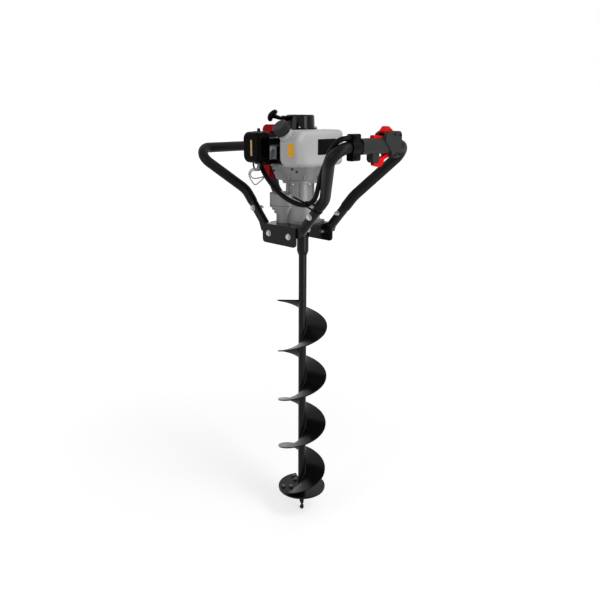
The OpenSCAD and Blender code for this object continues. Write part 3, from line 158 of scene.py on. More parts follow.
def grain_group() -> Tree:
    """Fine grain over slow blotches, for colour, roughness and bump.

    Returns:
        Group with the outputs Blotch and Height.
    """
    fine_share = 0.35
    tree = new_group("fine_grain", {"Grain": 900, "Blotch": 25}, ["Blotch", "Height"])
    for name, detail, scale in (("fine", 3.0, "Grain"), ("slow", 2.0, "Blotch")):
        add_node(tree, "TexNoise", name, {"Detail": detail})
        wire(tree, ("in", "Vector", name, "Vector"), ("in", scale, name, "Scale"))
    add_node(tree, "Math", "blend", {1: fine_share}, operation="MULTIPLY_ADD")
    add_node(tree, "Math", "part", {1: 1 - fine_share}, operation="MULTIPLY")
    wire(tree, ("fine", 0, "blend", 0), ("slow", 0, "part", 0), ("part", 0, "blend", 2),
         ("blend", 0, "out", "Blotch"), ("fine", 0, "out", "Height"))
    return tree


def wear_group() -> Tree:
    """Scuffs in broken streaks, more of them as Amount rises.

    Returns:
        Group with the output Mask.
    """
    threshold, contrast = 0.78, 9.0
    tree = new_group("scuff_wear", {"Scale": 60, "Amount": 0.2}, ["Mask"])
    add_node(tree, "TexNoise", "streak", {"Detail": 8.0, "Roughness": 0.72})
    add_node(tree, "Math", "edge", {0: threshold}, operation="SUBTRACT")
    add_node(tree, "Math", "over", operation="SUBTRACT")
    add_node(tree, "Math", "gain", {1: contrast}, operation="MULTIPLY", use_clamp=True)
    wire(tree, ("in", "Vector", "streak", "Vector"), ("in", "Scale", "streak", "Scale"),
         ("in", "Amount", "edge", 1), ("streak", 0, "over", 0), ("edge", 0, "over", 1),
         ("over", 0, "gain", 0), ("gain", 0, "out", "Mask"))
    return tree


GRAIN = grain_group()
WEAR = wear_group()


@dataclass(frozen=True)
class Finish:
    """One finish of the machine, named after its slot where the record has one."""

    slot: str
    color: Color
    roughness: float
    surface: Surface = Surface.MOULD
    metallic: float = 0.0
    specular: float = 0.5
    grain: float = 900.0
    depth: float = 0.00004
    mottle: float = 0.10
    spread: float = 0.06
    wear: float = 0.0
    worn: Color = (0.3, 0.3, 0.3)

    def material(self) -> bpy.types.Material:
        """Builds the finish.

        Returns:
            A node material on Object coordinates.
        """
        made = bpy.data.materials.get(self.slot + "_finish")
        if made:
            return made
        made = bpy.data.materials.new(self.slot + "_finish")
        made.use_nodes = True
        tree = made.node_tree
        shader = tree.nodes["Principled BSDF"]
        shader.name = "shader"
        preset(shader, {"Metallic": self.metallic, "Specular IOR Level": self.specular})
        add_node(tree, "TexCoord", "coords")
        stretch = STRETCH.get(self.surface, (1.0, 1.0, 1.0))
        add_node(tree, "Mapping", "lay", {"Scale": stretch})
        scales = {"Grain": self.grain, "Blotch": BLOTCH_SCALE.get(self.surface, 18.0)}
        add_node(tree, "Group", "grain", scales, node_tree=GRAIN)
        self._color(tree)
        add_node(tree, "MapRange", "reach", {
            "From Min": 0.3,
            "From Max": 0.7,
            "To Min": max(0.02, self.roughness - self.spread),
            "To Max": min(1.0, self.roughness + self.spread),
        })
        add_node(tree, "Bump", "bump", {"Strength": 0.8, "Distance": self.depth})
        wire(tree, ("coords", "Object", "lay", "Vector"), ("lay", "Vector", "grain", "Vector"),
             ("grain", "Blotch", "reach", "Value"), ("reach", "Result", "shader", "Roughness"),
             ("grain", "Height", "bump", "Height"), ("bump", "Normal", "shader", "Normal"))
        return made

    def _color(self, tree: Tree) -> None:
        """Mixes a paler and a darker tone by the blotches, then lays the wear over them."""
        tone = add_node(tree, "Mix", "tone", data_type="RGBA")
        for socket, share in ((MIX_A, 1 - self.mottle), (MIX_B, 1 + self.mottle)):
            preset(tone, {socket: (*(min(1.0, c * share) for c in self.color), 1.0)})
        wire(tree, ("grain", "Blotch", "tone", 0))
        if not self.wear:
            wire(tree, ("tone", MIX_RESULT, "shader", "Base Color"))
            return
        add_node(tree, "Group", "rub", {"Amount": self.wear}, node_tree=WEAR)
        wire(tree, ("lay", "Vector", "rub", "Vector"))
        add_node(tree, "Mix", "over", {MIX_B: (*self.worn, 1.0)}, data_type="RGBA")
        wire(tree, ("tone", MIX_RESULT, "over", MIX_A), ("rub", "Mask", "over", 0),
             ("over", MIX_RESULT, "shader", "Base Color"))


INK: Color = (0.0025, 0.0025, 0.0027)
FINISHES = {f.slot: f for f in (
    Finish("black_paint", INK, 0.24, Surface.PEEL, specular=0.15, grain=420, depth=0.00005,
           wear=0.05, worn=(0.02, 0.02, 0.021)),
    Finish("zinc_steel", (0.44, 0.445, 0.45), 0.36, Surface.BRUSH, metallic=1.0, grain=1500,
           depth=0.00002),
    Finish("bright_steel", (0.5, 0.51, 0.52), 0.34, Surface.BRUSH, metallic=1.0, grain=1500,
           depth=0.00002),
    Finish("blade_steel", (0.05, 0.05, 0.055), 0.4, Surface.PEEL, grain=500, wear=0.2,
           worn=(0.22, 0.22, 0.23)),
    Finish("grip_rubber", INK, 0.36, specular=0.11, grain=1400, depth=0.0001),
    Finish("grey_plastic", (0.015, 0.0152, 0.0158), 0.5, specular=0.15, grain=1200, depth=0.00012),
    Finish("black_plastic", INK, 0.34, specular=0.05, grain=1200, depth=0.00008),
    # Painted shade: a darker copy of gloss_black with its reflection cut down, worn by the filter
    # hood
    Finish("hood_black_painted_shade", (0.0008, 0.0008, 0.0009), 0.28, specular=0.03, grain=300, depth=0.00001),
    Finish("gloss_black", (0.0012, 0.0012, 0.0013), 0.1, specular=0.16, grain=300, depth=0.00001,
           spread=0.03),
    Finish("red_plastic", (0.6, 0.0015, 0.002), 0.4, specular=0.08, grain=1000, depth=0.00005),
    Finish("shroud_red", (0.33, 0.001, 0.002), 0.3, specular=0.07, grain=700, depth=0.00003),
    Finish("amber_panel", (0.82, 0.4, 0.008), 0.42, specular=0.3, grain=600, depth=0.00002),
    Finish("gold_strip", (0.46, 0.29, 0.1), 0.4, Surface.BRUSH, metallic=0.4, grain=1200,
           depth=0.00002),
    Finish("pale_plastic", (0.6, 0.57, 0.5), 0.5),
    Finish("rope_cord", (0.55, 0.55, 0.53), 0.8, Surface.WEAVE, grain=1800, depth=0.0003,
           mottle=0.25),
    Finish("wire_sleeve", (0.32, 0.32, 0.32), 0.42, grain=800, depth=0.00002),
    Finish("seal_rubber", (0.014, 0.014, 0.014), 0.6, specular=0.25, grain=1000, depth=0.00006),
    Finish("cast_aluminium", (0.205, 0.207, 0.209), 0.46, Surface.CAST, metallic=0.3, grain=700,
           depth=0.00016, mottle=0.14, wear=0.08, worn=(0.2, 0.2, 0.2)),
    Finish("bright_cast", (0.52, 0.525, 0.53), 0.4, Surface.CAST, metallic=0.5, grain=800,
           depth=0.00012),
    Finish("filter_foam", (0.05, 0.06, 0.045), 0.9, Surface.CAST, grain=900, depth=0.0004),
    Finish("muffler_steel", (0.1, 0.1, 0.105), 0.5, Surface.PEEL, metallic=0.6, grain=600,
           depth=0.00006, wear=0.2, worn=(0.16, 0.13, 0.1)),
    Finish("tank_grey", (0.43, 0.432, 0.43), 0.42, specular=0.3, grain=1100, depth=0.00005,
           mottle=0.04),
    Finish("cap_grey", (0.012, 0.012, 0.0125), 0.46, specular=0.2, grain=900, depth=0.00008),
)}


# Modelling with Blender's operators


def only(piece: Piece) -> None:
    """Leaves one object selected and active."""
    bpy.ops.object.select_all(action="DESELECT")
    piece.select_set(True)
    bpy.context.view_layer.objects.active = piece


def named(name: str) -> Piece:
    """Names the object that an operator has just added, and returns it."""
    piece = bpy.context.active_object
    piece.name = piece.data.name = name
    return piece


@contextmanager
def editing(piece: Piece) -> Iterable[None]:
    """Edit mode on one piece, with nothing selected at first.

    Args:
        piece: The piece.
    """
    only(piece)
    bpy.ops.object.mode_set(mode="EDIT")
    bpy.ops.mesh.select_mode(type="FACE")
    bpy.ops.mesh.select_all(action="DESELECT")
    yield
    bpy.ops.object.mode_set(mode="OBJECT")


def pick(piece: Piece, test: Test) -> None:
    """Selects faces in edit mode.

    Args:
        piece: The piece.
        test: Accepts a face by its centre and its normal.
    """
    mesh = bmesh.from_edit_mesh(piece.data)
    for face in mesh.faces:
        face.select_set(test(face.calc_center_median(), face.normal))
    bmesh.update_edit_mesh(piece.data)


def pick_edges(piece: Piece, test: Test) -> None:
    """Selects edges in edit mode.

    Args:
        piece: The piece.
        test: Accepts an edge by its two ends.
    """
    bpy.ops.mesh.select_mode(type="EDGE")
    mesh = bmesh.from_edit_mesh(piece.data)
    for edge in mesh.edges:
        edge.select_set(test(edge.verts[0].co, edge.verts[1].co))
    bmesh.update_edit_mesh(piece.data)


def round_edges(piece: Piece, test: Test, width: float, segments: int) -> None:
    """Rounds the edges, in edit mode, that a test on their two ends accepts."""
    pick_edges(piece, test)
    bpy.ops.mesh.bevel(offset=width, segments=segments, affect="EDGES")


def inset_faces(piece: Piece, test: Test, *steps: Pair) -> None:
    """Insets faces in edit mode, step by step.

    Args:
        piece: The piece.
        test: Accepts a face by its centre and its normal.
        steps: Width and depth of each step.
    """
    pick(piece, test)
    for width, depth in steps:
        bpy.ops.mesh.inset(thickness=width, depth=depth)


def face_outwards() -> None:
    """Turns all faces of the mesh in edit mode outwards."""
    bpy.ops.mesh.select_all(action="SELECT")
    bpy.ops.mesh.normals_make_consistent(inside=False)


def settle(piece: Piece) -> None:
    """Puts a piece's place, turn and scale into its mesh."""
    only(piece)
    bpy.ops.object.transform_apply(location=True, rotation=True, scale=True)


def modify(piece: Piece, kind: str, **values: object) -> None:
    """Applies one modifier to a piece.

    Args:
        piece: The piece.
        kind: Blender's modifier type.
        values: Settings of the modifier.
    """
    only(piece)
    modifier = piece.modifiers.new(kind.lower(), kind)
    for key, value in values.items():
        setattr(modifier, key, value)
    bpy.ops.object.modifier_apply(modifier=modifier.name)


def soften(piece: Piece, width: float, segments: int, angle: float) -> None:
    """Rounds a settled piece's edges.

    Args:
        piece: The piece.
        width: Width of the rounding, in metres.
        segments: Faces across it.
        angle: Least angle of an edge that is rounded, in degrees.
    """
    modify(piece, "BEVEL", width=width, segments=segments, limit_method="ANGLE",
           angle_limit=math.radians(angle))


def block(name: str, low: Point, high: Point) -> Piece:
    """A box between two corners, as the start of a piece.

    Args:
        name: Name of the piece.
        low: Its lowest corner.
        high: Its highest corner.

    Returns:
        The settled box.
    """
    centre = [(a + b) / 2 for a, b in zip(low, high)]
    bpy.ops.mesh.primitive_cube_add(size=1, location=centre)
    piece = named(name)
    piece.scale = [b - a for a, b in zip(low, high)]
    settle(piece)
    return piece


def turned(axis: Point) -> Matrix:
    """Rotation that takes +Z to an axis."""
    return Vector(UP).rotation_difference(Vector(axis)).to_matrix().to_4x4()


def lathe(name: str, rings: Sequence[Pair], at: Point, axis: Point,
          sides: int) -> Piece:
    """Turns a profile by extruding a disc from ring to ring.

    Args:
        name: Name of the piece.
        rings: Radius and height of each ring, from the bottom up.
        at: Point that the heights count from.
        axis: Direction of the heights.
        sides: Faces round it.

    Returns:
        The settled piece, closed at both ends.
    """
    bpy.ops.mesh.primitive_circle_add(radius=rings[0][0], vertices=sides, fill_type="NGON")
    piece = named(name)
    with editing(piece):
        bpy.ops.mesh.select_all(action="SELECT")
        bpy.ops.transform.translate(value=(0, 0, rings[0][1]))
        for (r, z), (s, w) in zip(rings, rings[1:]):
            bpy.ops.mesh.extrude_region_move(TRANSFORM_OT_translate={"value": (0, 0, w - z)})
            bpy.ops.transform.resize(value=(s / r, s / r, 1), center_override=(0, 0, w))
        face_outwards()
    piece.matrix_world = Matrix.Translation(at) @ turned(axis)
    settle(piece)
    return piece


def joined(name: str, pieces: Sequence[Piece]) -> Piece:
    """Joins settled pieces into one.

    Args:
        name: Name of the result.
        pieces: What is joined.

    Returns:
        The joined piece.
    """
    only(pieces[0])
    for piece in pieces:
        piece.select_set(True)
    if len(pieces) > 1:
        bpy.ops.object.join()
    return named(name)


def put(piece: Piece, body: str, slot: str, replaces: Sequence[str] = (), angle: float = 35.0,
        look: str = "") -> Piece:
    """Smooths a piece, gives it its finish and lets it ride.

    Args:
        piece: A settled piece.
        body: CAD body that carries it.
        slot: Slot of its finish.
        replaces: CAD nodes that it stands for.
        angle: Edges flatter than this are shaded smooth, in degrees.
        look: Another finish than the slot's own.

    Returns:
        The piece.
    """
    only(piece)
    bpy.ops.object.shade_smooth_by_angle(angle=math.radians(angle))
    modify(piece, "WEIGHTED_NORMAL", keep_sharp=True)
    piece.data.materials.clear()
    piece.data.materials.append(FINISHES[look or slot].material())
    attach(piece, body)
    if replaces:
        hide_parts(*replaces)
    log.info("%s rides on %s in %s", piece.name, body, slot)
    return piece


def swept(name: str, points: Sequence[Vector], radius: float, radii: Sequence[float],
          sides: int) -> Piece:
    """A round tube along points, closed at both ends.

    Args:
        name: Name of the piece.
        points: Centre line, in metres.
        radius: Radius of the tube.
        radii: Shares of the radius at each point, or none for an even tube.
        sides: Resolution of the round, where 4 gives 12 faces.

    Returns:
        The tube as a mesh.
    """
    curve = bpy.data.curves.new(name, "CURVE")
    curve.dimensions = "3D"
    curve.bevel_depth = radius
    curve.bevel_resolution = sides
    curve.use_fill_caps = True
    spline = curve.splines.new("POLY")
    spline.points.add(len(points) - 1)
    for i, point in enumerate(points):
        spline.points[i].co = (*point, 1.0)
        spline.points[i].radius = radii[i] if radii else 1.0
    piece = bpy.data.objects.new(name, curve)
    bpy.context.scene.collection.objects.link(piece)
    only(piece)
    bpy.ops.object.convert(target="MESH")
    return named(name)


def smooth_path(points: Sequence[Point], steps: int) -> list[Vector]:
    """Curve through points, by the same rule as the CAD source.

    Args:
        points: Points in millimetres.
        steps: Parts between two points.

    Returns:
        Points of the curve, in metres.
    """
    p = [Vector(q) / MM_PER_M for q in points]
    path = []
    for i in range(len(p) - 1):
        a, b, c, d = p[max(i - 1, 0)], p[i], p[i + 1], p[min(i + 2, len(p) - 1)]
        for k in range(steps):
            t = k / steps
            path.append(0.5 * (2 * b + (c - a) * t + (2 * a - 5 * b + 4 * c - d) * t ** 2
                               + (3 * b - a - 3 * c + d) * t ** 3))
    return path + [p[-1]]


def even_path(path: Sequence[Vector], step: float) -> list[Vector]:
    """The same line with points at even distances.

    Args:
        path: Points of the line.
        step: Distance between the new points.

    Returns:
        The new points, both ends among them.
    """
    walked = [0.0]
    for a, b in zip(path, path[1:]):
        walked.append(walked[-1] + (b - a).length)
    count = max(2, round(walked[-1] / step))
    made, i = [], 0
    for k in range(count + 1):
        s = walked[-1] * k / count
        while i < len(path) - 2 and walked[i + 1] < s:
            i += 1
        share = (s - walked[i]) / max(1e-9, walked[i + 1] - walked[i])
        made.append(path[i].lerp(path[i + 1], min(1.0, share)))
    return made


def filleted(points: Sequence[Vector], radii: Sequence[float], parts: int = 14) -> list[Vector]:
    """Straight runs with an arc at each inner point.

    Args:
        points: Corners of the line.
        radii: Radius at each inner corner.
        parts: Steps in an arc.

    Returns:
        Points of the line.
    """
    made = [points[0]]
    for before, corner, after, radius in zip(points, points[1:], points[2:], radii):
        a, b = (corner - before).normalized(), (after - corner).normalized()
        angle = a.angle(b)
        inward = (b - a * math.cos(angle)).normalized()
        start = corner - a * radius * math.tan(angle / 2)
        centre = start + inward * radius
        for k in range(parts + 1):
            t = angle * k / parts
            made.append(centre - inward * radius * math.cos(t) + a * radius * math.sin(t))
    return made + [points[-1]]


# Sub-assemblies


@dataclass
class Screws:
    """Round socket screws of one size on the frame, joined to one piece."""

    name: str
    radius: float
    places: Sequence[Place]
    slot: str = "zinc_steel"
    height: float = 0.003
    sides: int = 24
    # Shares of radius and height for the rim, the land and the socket
    steps: Sequence[Pair] = ((0.18, 0.18), (0.3, 0.0), (0.05, -0.5))

    def head(self, index: int, at: Point, axis: Point) -> Piece:
        """Models one head with a socket.

        Args:
            index: Number of the screw.
            at: Point on the surface under the head.
            axis: Direction out of the surface.

        Returns:
            The settled head.
        """
        radius, height = self.radius, self.height
        bpy.ops.mesh.primitive_cylinder_add(radius=radius, depth=height, vertices=self.sides)
        piece = named(f"{self.name}_{index}")
        middle = Vector(at) + Vector(axis).normalized() * height / 2
        piece.matrix_world = Matrix.Translation(middle) @ turned(axis)
        steps = [(radius * width, height * depth) for width, depth in self.steps]
        with editing(piece):
            inset_faces(piece, lambda c, n: n.z > FACING, *steps)
        settle(piece)
        return piece

    def build(self) -> None:
        """Models every head and joins them."""
        heads = [self.head(i, at, axis) for i, (at, axis) in enumerate(self.places)]
        put(joined(self.name, heads), "frame", self.slot)


@dataclass
class Bit:
    """Flighting with its weld beads, and the twisted pilot under it."""

    radius: float = 0.075
    shank: float = 0.012
    thick: float = 0.004
    rounding: float = 0.0012
    pitch: float = 0.161
    low: float = 0.0935
    high: float = 0.717
    top_angle: float = math.radians(225)
    turn_steps: int = 120
    bead: float = 0.0022
    bead_rise: float = 0.0005
    bead_start: float = 0.004
    bead_spare: float = 0.006
    bead_points: int = 760
    ripple: float = 0.16
    ripple_rate: float = 2.1
    pilot_half: Pair = (0.0072, 0.0027)
    pilot_top: float = 0.0845
    pilot_nose: float = 0.008
    pilot_turn: float = math.radians(610)
    pilot_parts: int = 60
    nose_rings: int = 6
    blunt: float = 0.36

    def angle_at(self, z: float) -> float:
        """Angle of the flighting's top face at a height."""
        return self.top_angle - math.tau * (self.high - z) / self.pitch

    def flight(self) -> None:
        """Sweeps the flight's section up the screw."""
        turns = (self.high - self.low) / self.pitch
        start = self.angle_at(self.low)
        half = 0.0005
        piece = block("flighting", (self.shank, -half, self.low - self.thick),
                      (self.radius, half, self.low))
        with editing(piece):
            pick(piece, lambda c, n: n.y < FACING)
            bpy.ops.mesh.delete(type="FACE")
            bpy.ops.mesh.select_all(action="SELECT")
            bpy.ops.transform.translate(value=(0, -half, 0))
            round_edges(piece, lambda a, b: min(a.x, b.x) > self.radius - SLACK, self.rounding, 3)
            bpy.ops.mesh.select_all(action="SELECT")
            bpy.ops.transform.rotate(value=-start, orient_axis="Z", center_override=(0, 0, 0))
        self._aim(piece, start)
        steps = round(self.turn_steps * turns)
        modify(piece, "SCREW", angle=math.tau * turns, screw_offset=self.high - self.low,
               steps=steps, render_steps=steps, use_normal_calculate=True)
        with editing(piece):
            face_outwards()
        put(piece, "bit", "black_paint", [f"flight_turn_{i}" for i in (1, 2, 3, 4)], 50)

    @staticmethod
    def _aim(piece: Piece, start: float) -> None:
        """Turns the section to the flight's lower end, whichever way the operator went."""
        far = max(piece.data.vertices, key=lambda v: v.co.xy.length).co
        error = start - math.atan2(far.y, far.x)
        piece.data.transform(Matrix.Rotation(error, 4, "Z"))

    def beads(self) -> None:
        """Lays a weld bead along the inner edge, under and over the flight."""
        runs = []
        reach = self.high - self.low - self.bead_spare
        radii = [1.0 + self.ripple * math.sin(i * self.ripple_rate)
                 for i in range(self.bead_points + 1)]
        for name, drop in (("over", self.bead_rise), ("under", -self.thick - self.bead_rise)):
            path = []
            for i in range(self.bead_points + 1):
                z = self.low + self.bead_start + reach * i / self.bead_points
                a = self.angle_at(z)
                path.append(Vector((self.shank * math.cos(a), self.shank * math.sin(a), z + drop)))
            runs.append(swept("bead_" + name, path, self.bead, radii, 2))
        put(joined("weld_beads", runs), "bit", "black_paint", angle=60)

    def pilot(self) -> None:
        """Twists a rounded bar into the pilot and draws its nose to a blunt point."""
        w, t = self.pilot_half
        half = self.pilot_top / 2
        piece = block("pilot_twist", (-w, -t, 0.0), (w, t, self.pilot_top))
        with editing(piece):
            round_edges(piece, lambda a, b: abs(a.z - b.z) > half, t * 0.8, 3)
            pick_edges(piece, lambda a, b: abs(a.z - b.z) > half)
            bpy.ops.mesh.subdivide(number_cuts=self.pilot_parts - 1)
            for level in range(self.nose_rings):
                z = self.pilot_top * level / self.pilot_parts
                share = self.blunt + (1 - self.blunt) * math.sqrt(z / self.pilot_nose)
                pick_edges(piece, lambda a, b: max(abs(a.z - z), abs(b.z - z)) < SLACK)
                bpy.ops.transform.resize(value=(share, share, 1), center_override=(0, 0, z))
        modify(piece, "SIMPLE_DEFORM", deform_method="TWIST", deform_axis="Z",
               angle=self.pilot_turn)
        put(piece, "bit", "black_paint", ["pilot_screw"], 40)

    def build(self) -> None:
        """Builds the bit's pieces."""
        self.flight()
        self.beads()
        self.pilot()


@dataclass
class Handlebars:
    """Rubber sleeves over the bent tubes, down over the tops of the leg sockets."""

    grip_x: float = 0.276
    left_z: float = 1.153
    right_z: float = 1.176
    near_y: float = -0.186
    far_y: float = 0.128
    # Where the sleeves stop on both sides of the throttle grip
    grip_ends: Pair = (-0.123, 0.061)
    corner: float = 0.036
    radius: float = 0.0146
    eased: float = 0.95
    step: float = 0.004
    # Length over the legs, and the share of it that stays above the tie
    cover: float = 0.045
    above_tie: float = 0.64
    slope: float = math.radians(48)
    leg_near: float = -0.0775
    leg_far: float = 0.0365
    bend_x: float = 0.15837
    bend_z: float = 1.03647
    bend_radius: float = 0.052

    def sleeve(self, name: str, points: Sequence[Vector], radii: Sequence[float]) -> Piece:
        """Sweeps one sleeve with eased ends.

        Args:
            name: Name of the piece.
            points: Corners of its line.
            radii: Bend radius at each inner corner.

        Returns:
            The sleeve.
        """
        path = even_path(filleted(points, radii), self.step)
        shares = [self.eased, *[1.0] * (len(path) - 2), self.eased]
        return swept(name, path, self.radius, shares, 8)

    def corners(self, side: int, z: float) -> tuple[Vector, ...]:
        """Corners of one bar.

        Args:
            side: -1 for the left bar, 1 for the right one.
            z: Height of its grip.

        Returns:
            The corners at socket, leg, grip, grip, leg and socket.
        """
        x, grip = side * self.bend_x, side * self.grip_x
        near, far = Vector((x, self.leg_near, self.bend_z)), Vector((x, self.leg_far, self.bend_z))
        down = Vector((-side * math.cos(self.slope), 0, -math.sin(self.slope))) * self.cover
        return (near + down, near, Vector((grip, self.near_y, z)), Vector((grip, self.far_y, z)),
                far, far + down)

    def build(self) -> None:
        """Builds the three sleeves as one piece."""
        turns = [self.bend_radius, self.corner]
        left = self.sleeve("left_sleeve", self.corners(-1, self.left_z), turns + turns[::-1])
        bar = self.corners(1, self.right_z)
        near_end, far_end = (Vector((self.grip_x, y, self.right_z)) for y in self.grip_ends)
        foot = bar[1].lerp(bar[0], self.above_tie)
        near = self.sleeve("near_sleeve", [foot, *bar[1:3], near_end], turns)
        far = self.sleeve("far_sleeve", [far_end, *bar[3:]], turns[::-1])
        sleeves = joined("rubber_sleeves", [left, near, far])
        put(sleeves, "frame", "grip_rubber", ["grip_sleeves"], 60)


@dataclass
class Tank:
    """Moulded fuel tank with its filler and plain panels."""

    low: Point = (0.050, -0.142, 1.1185)
    high: Point = (0.123, 0.035, 1.2115)
    rounding: float = 0.013
    filler: float = 0.0232
    foot: float = 0.024
    neck_at: Point = (0.068, -0.130392, 1.199892)
    neck_axis: Point = (0.0, -0.70711, 0.70711)
    neck_rings: Sequence[Pair] = (
        (0.0195, -0.003), (0.0195, 0.001), (0.0185, 0.0022), (0.0164, 0.0045), (0.016, 0.0285),
        (0.0155, 0.029),
    )

    def shell(self) -> Piece:
        """Shapes the tank from a box: filler edge cut, inner foot rounded, then every edge.

        Returns:
            The settled shell.
        """
        x, y, z = (value + SLACK for value in self.low)
        top = self.high[2] - SLACK
        piece = block("tank_shell", self.low, self.high)
        with editing(piece):
            round_edges(piece, lambda a, b: max(a.y, b.y) < y and min(a.z, b.z) > top,
                        self.filler, 1)
            round_edges(piece, lambda a, b: max(a.x, b.x) < x and max(a.z, b.z) < z, self.foot, 8)
        soften(piece, self.rounding, 6, 30)
        return piece

    def plate(self, name: str, box: Place, facing: Point, slot: str, corner: float) -> None:
        """Lays a plain panel with a thin raised rim on the tank.

        Args:
            name: Name of the panel.
            box: Its lowest and highest corner.
            facing: Direction that it faces.
            slot: Its finish.
            corner: Radius of its corners.
        """
        out = Vector(facing)
        piece = block(name, *box)
        with editing(piece):
            round_edges(piece, lambda a, b: abs((a - b).normalized().dot(out)) > FACING, corner, 5)
            inset_faces(piece, lambda c, n: n.dot(out) > FACING, (0.0014, 0), (0.0004, -0.0003))
        put(piece, "frame", slot)

    def build(self) -> None:
        """Builds the tank and its panels."""
        shell = self.shell()
        neck = lathe("filler_neck", self.neck_rings, self.neck_at, self.neck_axis, 48)
        put(joined("fuel_tank_shell", [shell, neck]), "frame", "tank_grey", ["fuel_tank"])
        self.plate("tank_panel", ((0.1222, -0.069, 1.149), (0.1236, 0.0, 1.189)), OUT,
                   "black_plastic", 0.002)
        self.plate("amber_panel", ((0.087, -0.1426, 1.146), (0.109, -0.1412, 1.179)), (0, -1, 0),
                   "amber_panel", 0.004)


@dataclass
class AirFilter:
    """Dark filter cover with its lip and plain strip."""

    low: Point = (-0.081, -0.155, 1.123)
    high: Point = (-0.011, -0.121, 1.205)
    corner: float = 0.019
    nose: float = 0.012
    wall: float = 0.0025
    lip: float = 0.0045
    lip_out: float = 0.0011
    strip_box: Place = ((-0.045, -0.1552, 1.142), (-0.0385, -0.1538, 1.184))

    def cover(self) -> None:
        """Shapes the cover from a box: corners, nose, stepped front, lip, then its wall."""
        front, lip = self.low[1], self.high[1] - self.lip
        piece = block("filter_hood", self.low, self.high)
        with editing(piece):
            round_edges(piece, lambda a, b: abs(a.y - b.y) > 0.02, self.corner, 8)
            round_edges(piece, lambda a, b: max(a.y, b.y) < front + SLACK, self.nose, 6)
            inset_faces(piece, lambda c, n: n.y < -0.99, (0.002, 0), (0.0012, -0.0007))
            bpy.ops.mesh.select_all(action="SELECT")
            bpy.ops.mesh.bisect(plane_co=(0, lip, 0), plane_no=(0, 1, 0))
            bpy.ops.mesh.select_mode(type="FACE")
            pick(piece, lambda c, n: n.y > FACING)
            bpy.ops.mesh.delete(type="FACE")
            pick(piece, lambda c, n: c.y > lip)
            grow = {"value": self.lip_out}
            bpy.ops.mesh.extrude_region_shrink_fatten(TRANSFORM_OT_shrink_fatten=grow)
        modify(piece, "SOLIDIFY", thickness=self.wall, offset=-1.0)
        # The hood wears a darker copy of its slot's gloss black, which is painted shade
        put(piece, "frame", "gloss_black", ["filter_cover"], 32, "hood_black_painted_shade")

    def strip(self) -> None:
        """Lays the plain gold strip down the front."""
        piece = block("gold_strip", *self.strip_box)
        with editing(piece):
            round_edges(piece, lambda a, b: abs(a.y - b.y) > 0.001, 0.0015, 4)
            inset_faces(piece, lambda c, n: n.y < -FACING, (0.0008, 0.0003))
        put(piece, "frame", "gold_strip")

    def build(self) -> None:
        """Builds the cover and its strip."""
        self.cover()
        self.strip()


@dataclass
class Intake:
    """Black guard over the carburettor, its pump cover below and a steel clip."""

    guard: Place = ((-0.072, -0.108, 1.1704), (-0.036, -0.0535, 1.1995))
    guard_slope: float = 0.007
    pump: Place = ((-0.0752, -0.1146, 1.1165), (-0.0406, -0.0616, 1.1312))
    pump_slope: float = 0.004
    clip: Place = ((-0.0365, -0.103, 1.1862), (-0.0347, -0.064, 1.1900))
    clip_corner: float = 0.0017
    screw: Place = ((-0.035, -0.067, 1.1881), OUT)

    def cover(self, name: str, box: Place, slope: float) -> None:
        """Shapes a moulded cover from a box, with a sloped edge and a sunk side panel.

        Args:
            name: Name of the piece.
            box: Its lowest and highest corner.
            slope: Size of the slope along its upper edge on the tank's side.
        """
        x, _, z = box[1]
        piece = block(name, *box)
        with editing(piece):
            round_edges(piece, lambda a, b: min(a.x, b.x) > x - SLACK and min(a.z, b.z) > z - SLACK,
                        slope, 1)
            bpy.ops.mesh.select_mode(type="FACE")
            inset_faces(piece, lambda c, n: n.x > FACING, (0.003, 0), (0.0008, -0.001))
        soften(piece, 0.0016, 3, 40)
        put(piece, "frame", "black_plastic")

    def build(self) -> None:
        """Builds the covers and the clip with its screw."""
        self.cover("carburettor_guard", self.guard, self.guard_slope)
        self.cover("pump_cover", self.pump, self.pump_slope)
        piece = block("guard_clip", *self.clip)
        with editing(piece):
            round_edges(piece, lambda a, b: abs(a.x - b.x) > 0.001, self.clip_corner, 5)
        soften(piece, 0.0003, 2, 40)
        put(piece, "frame", "bright_steel")
        Screws("clip_screw", 0.0024, [self.screw]).build()


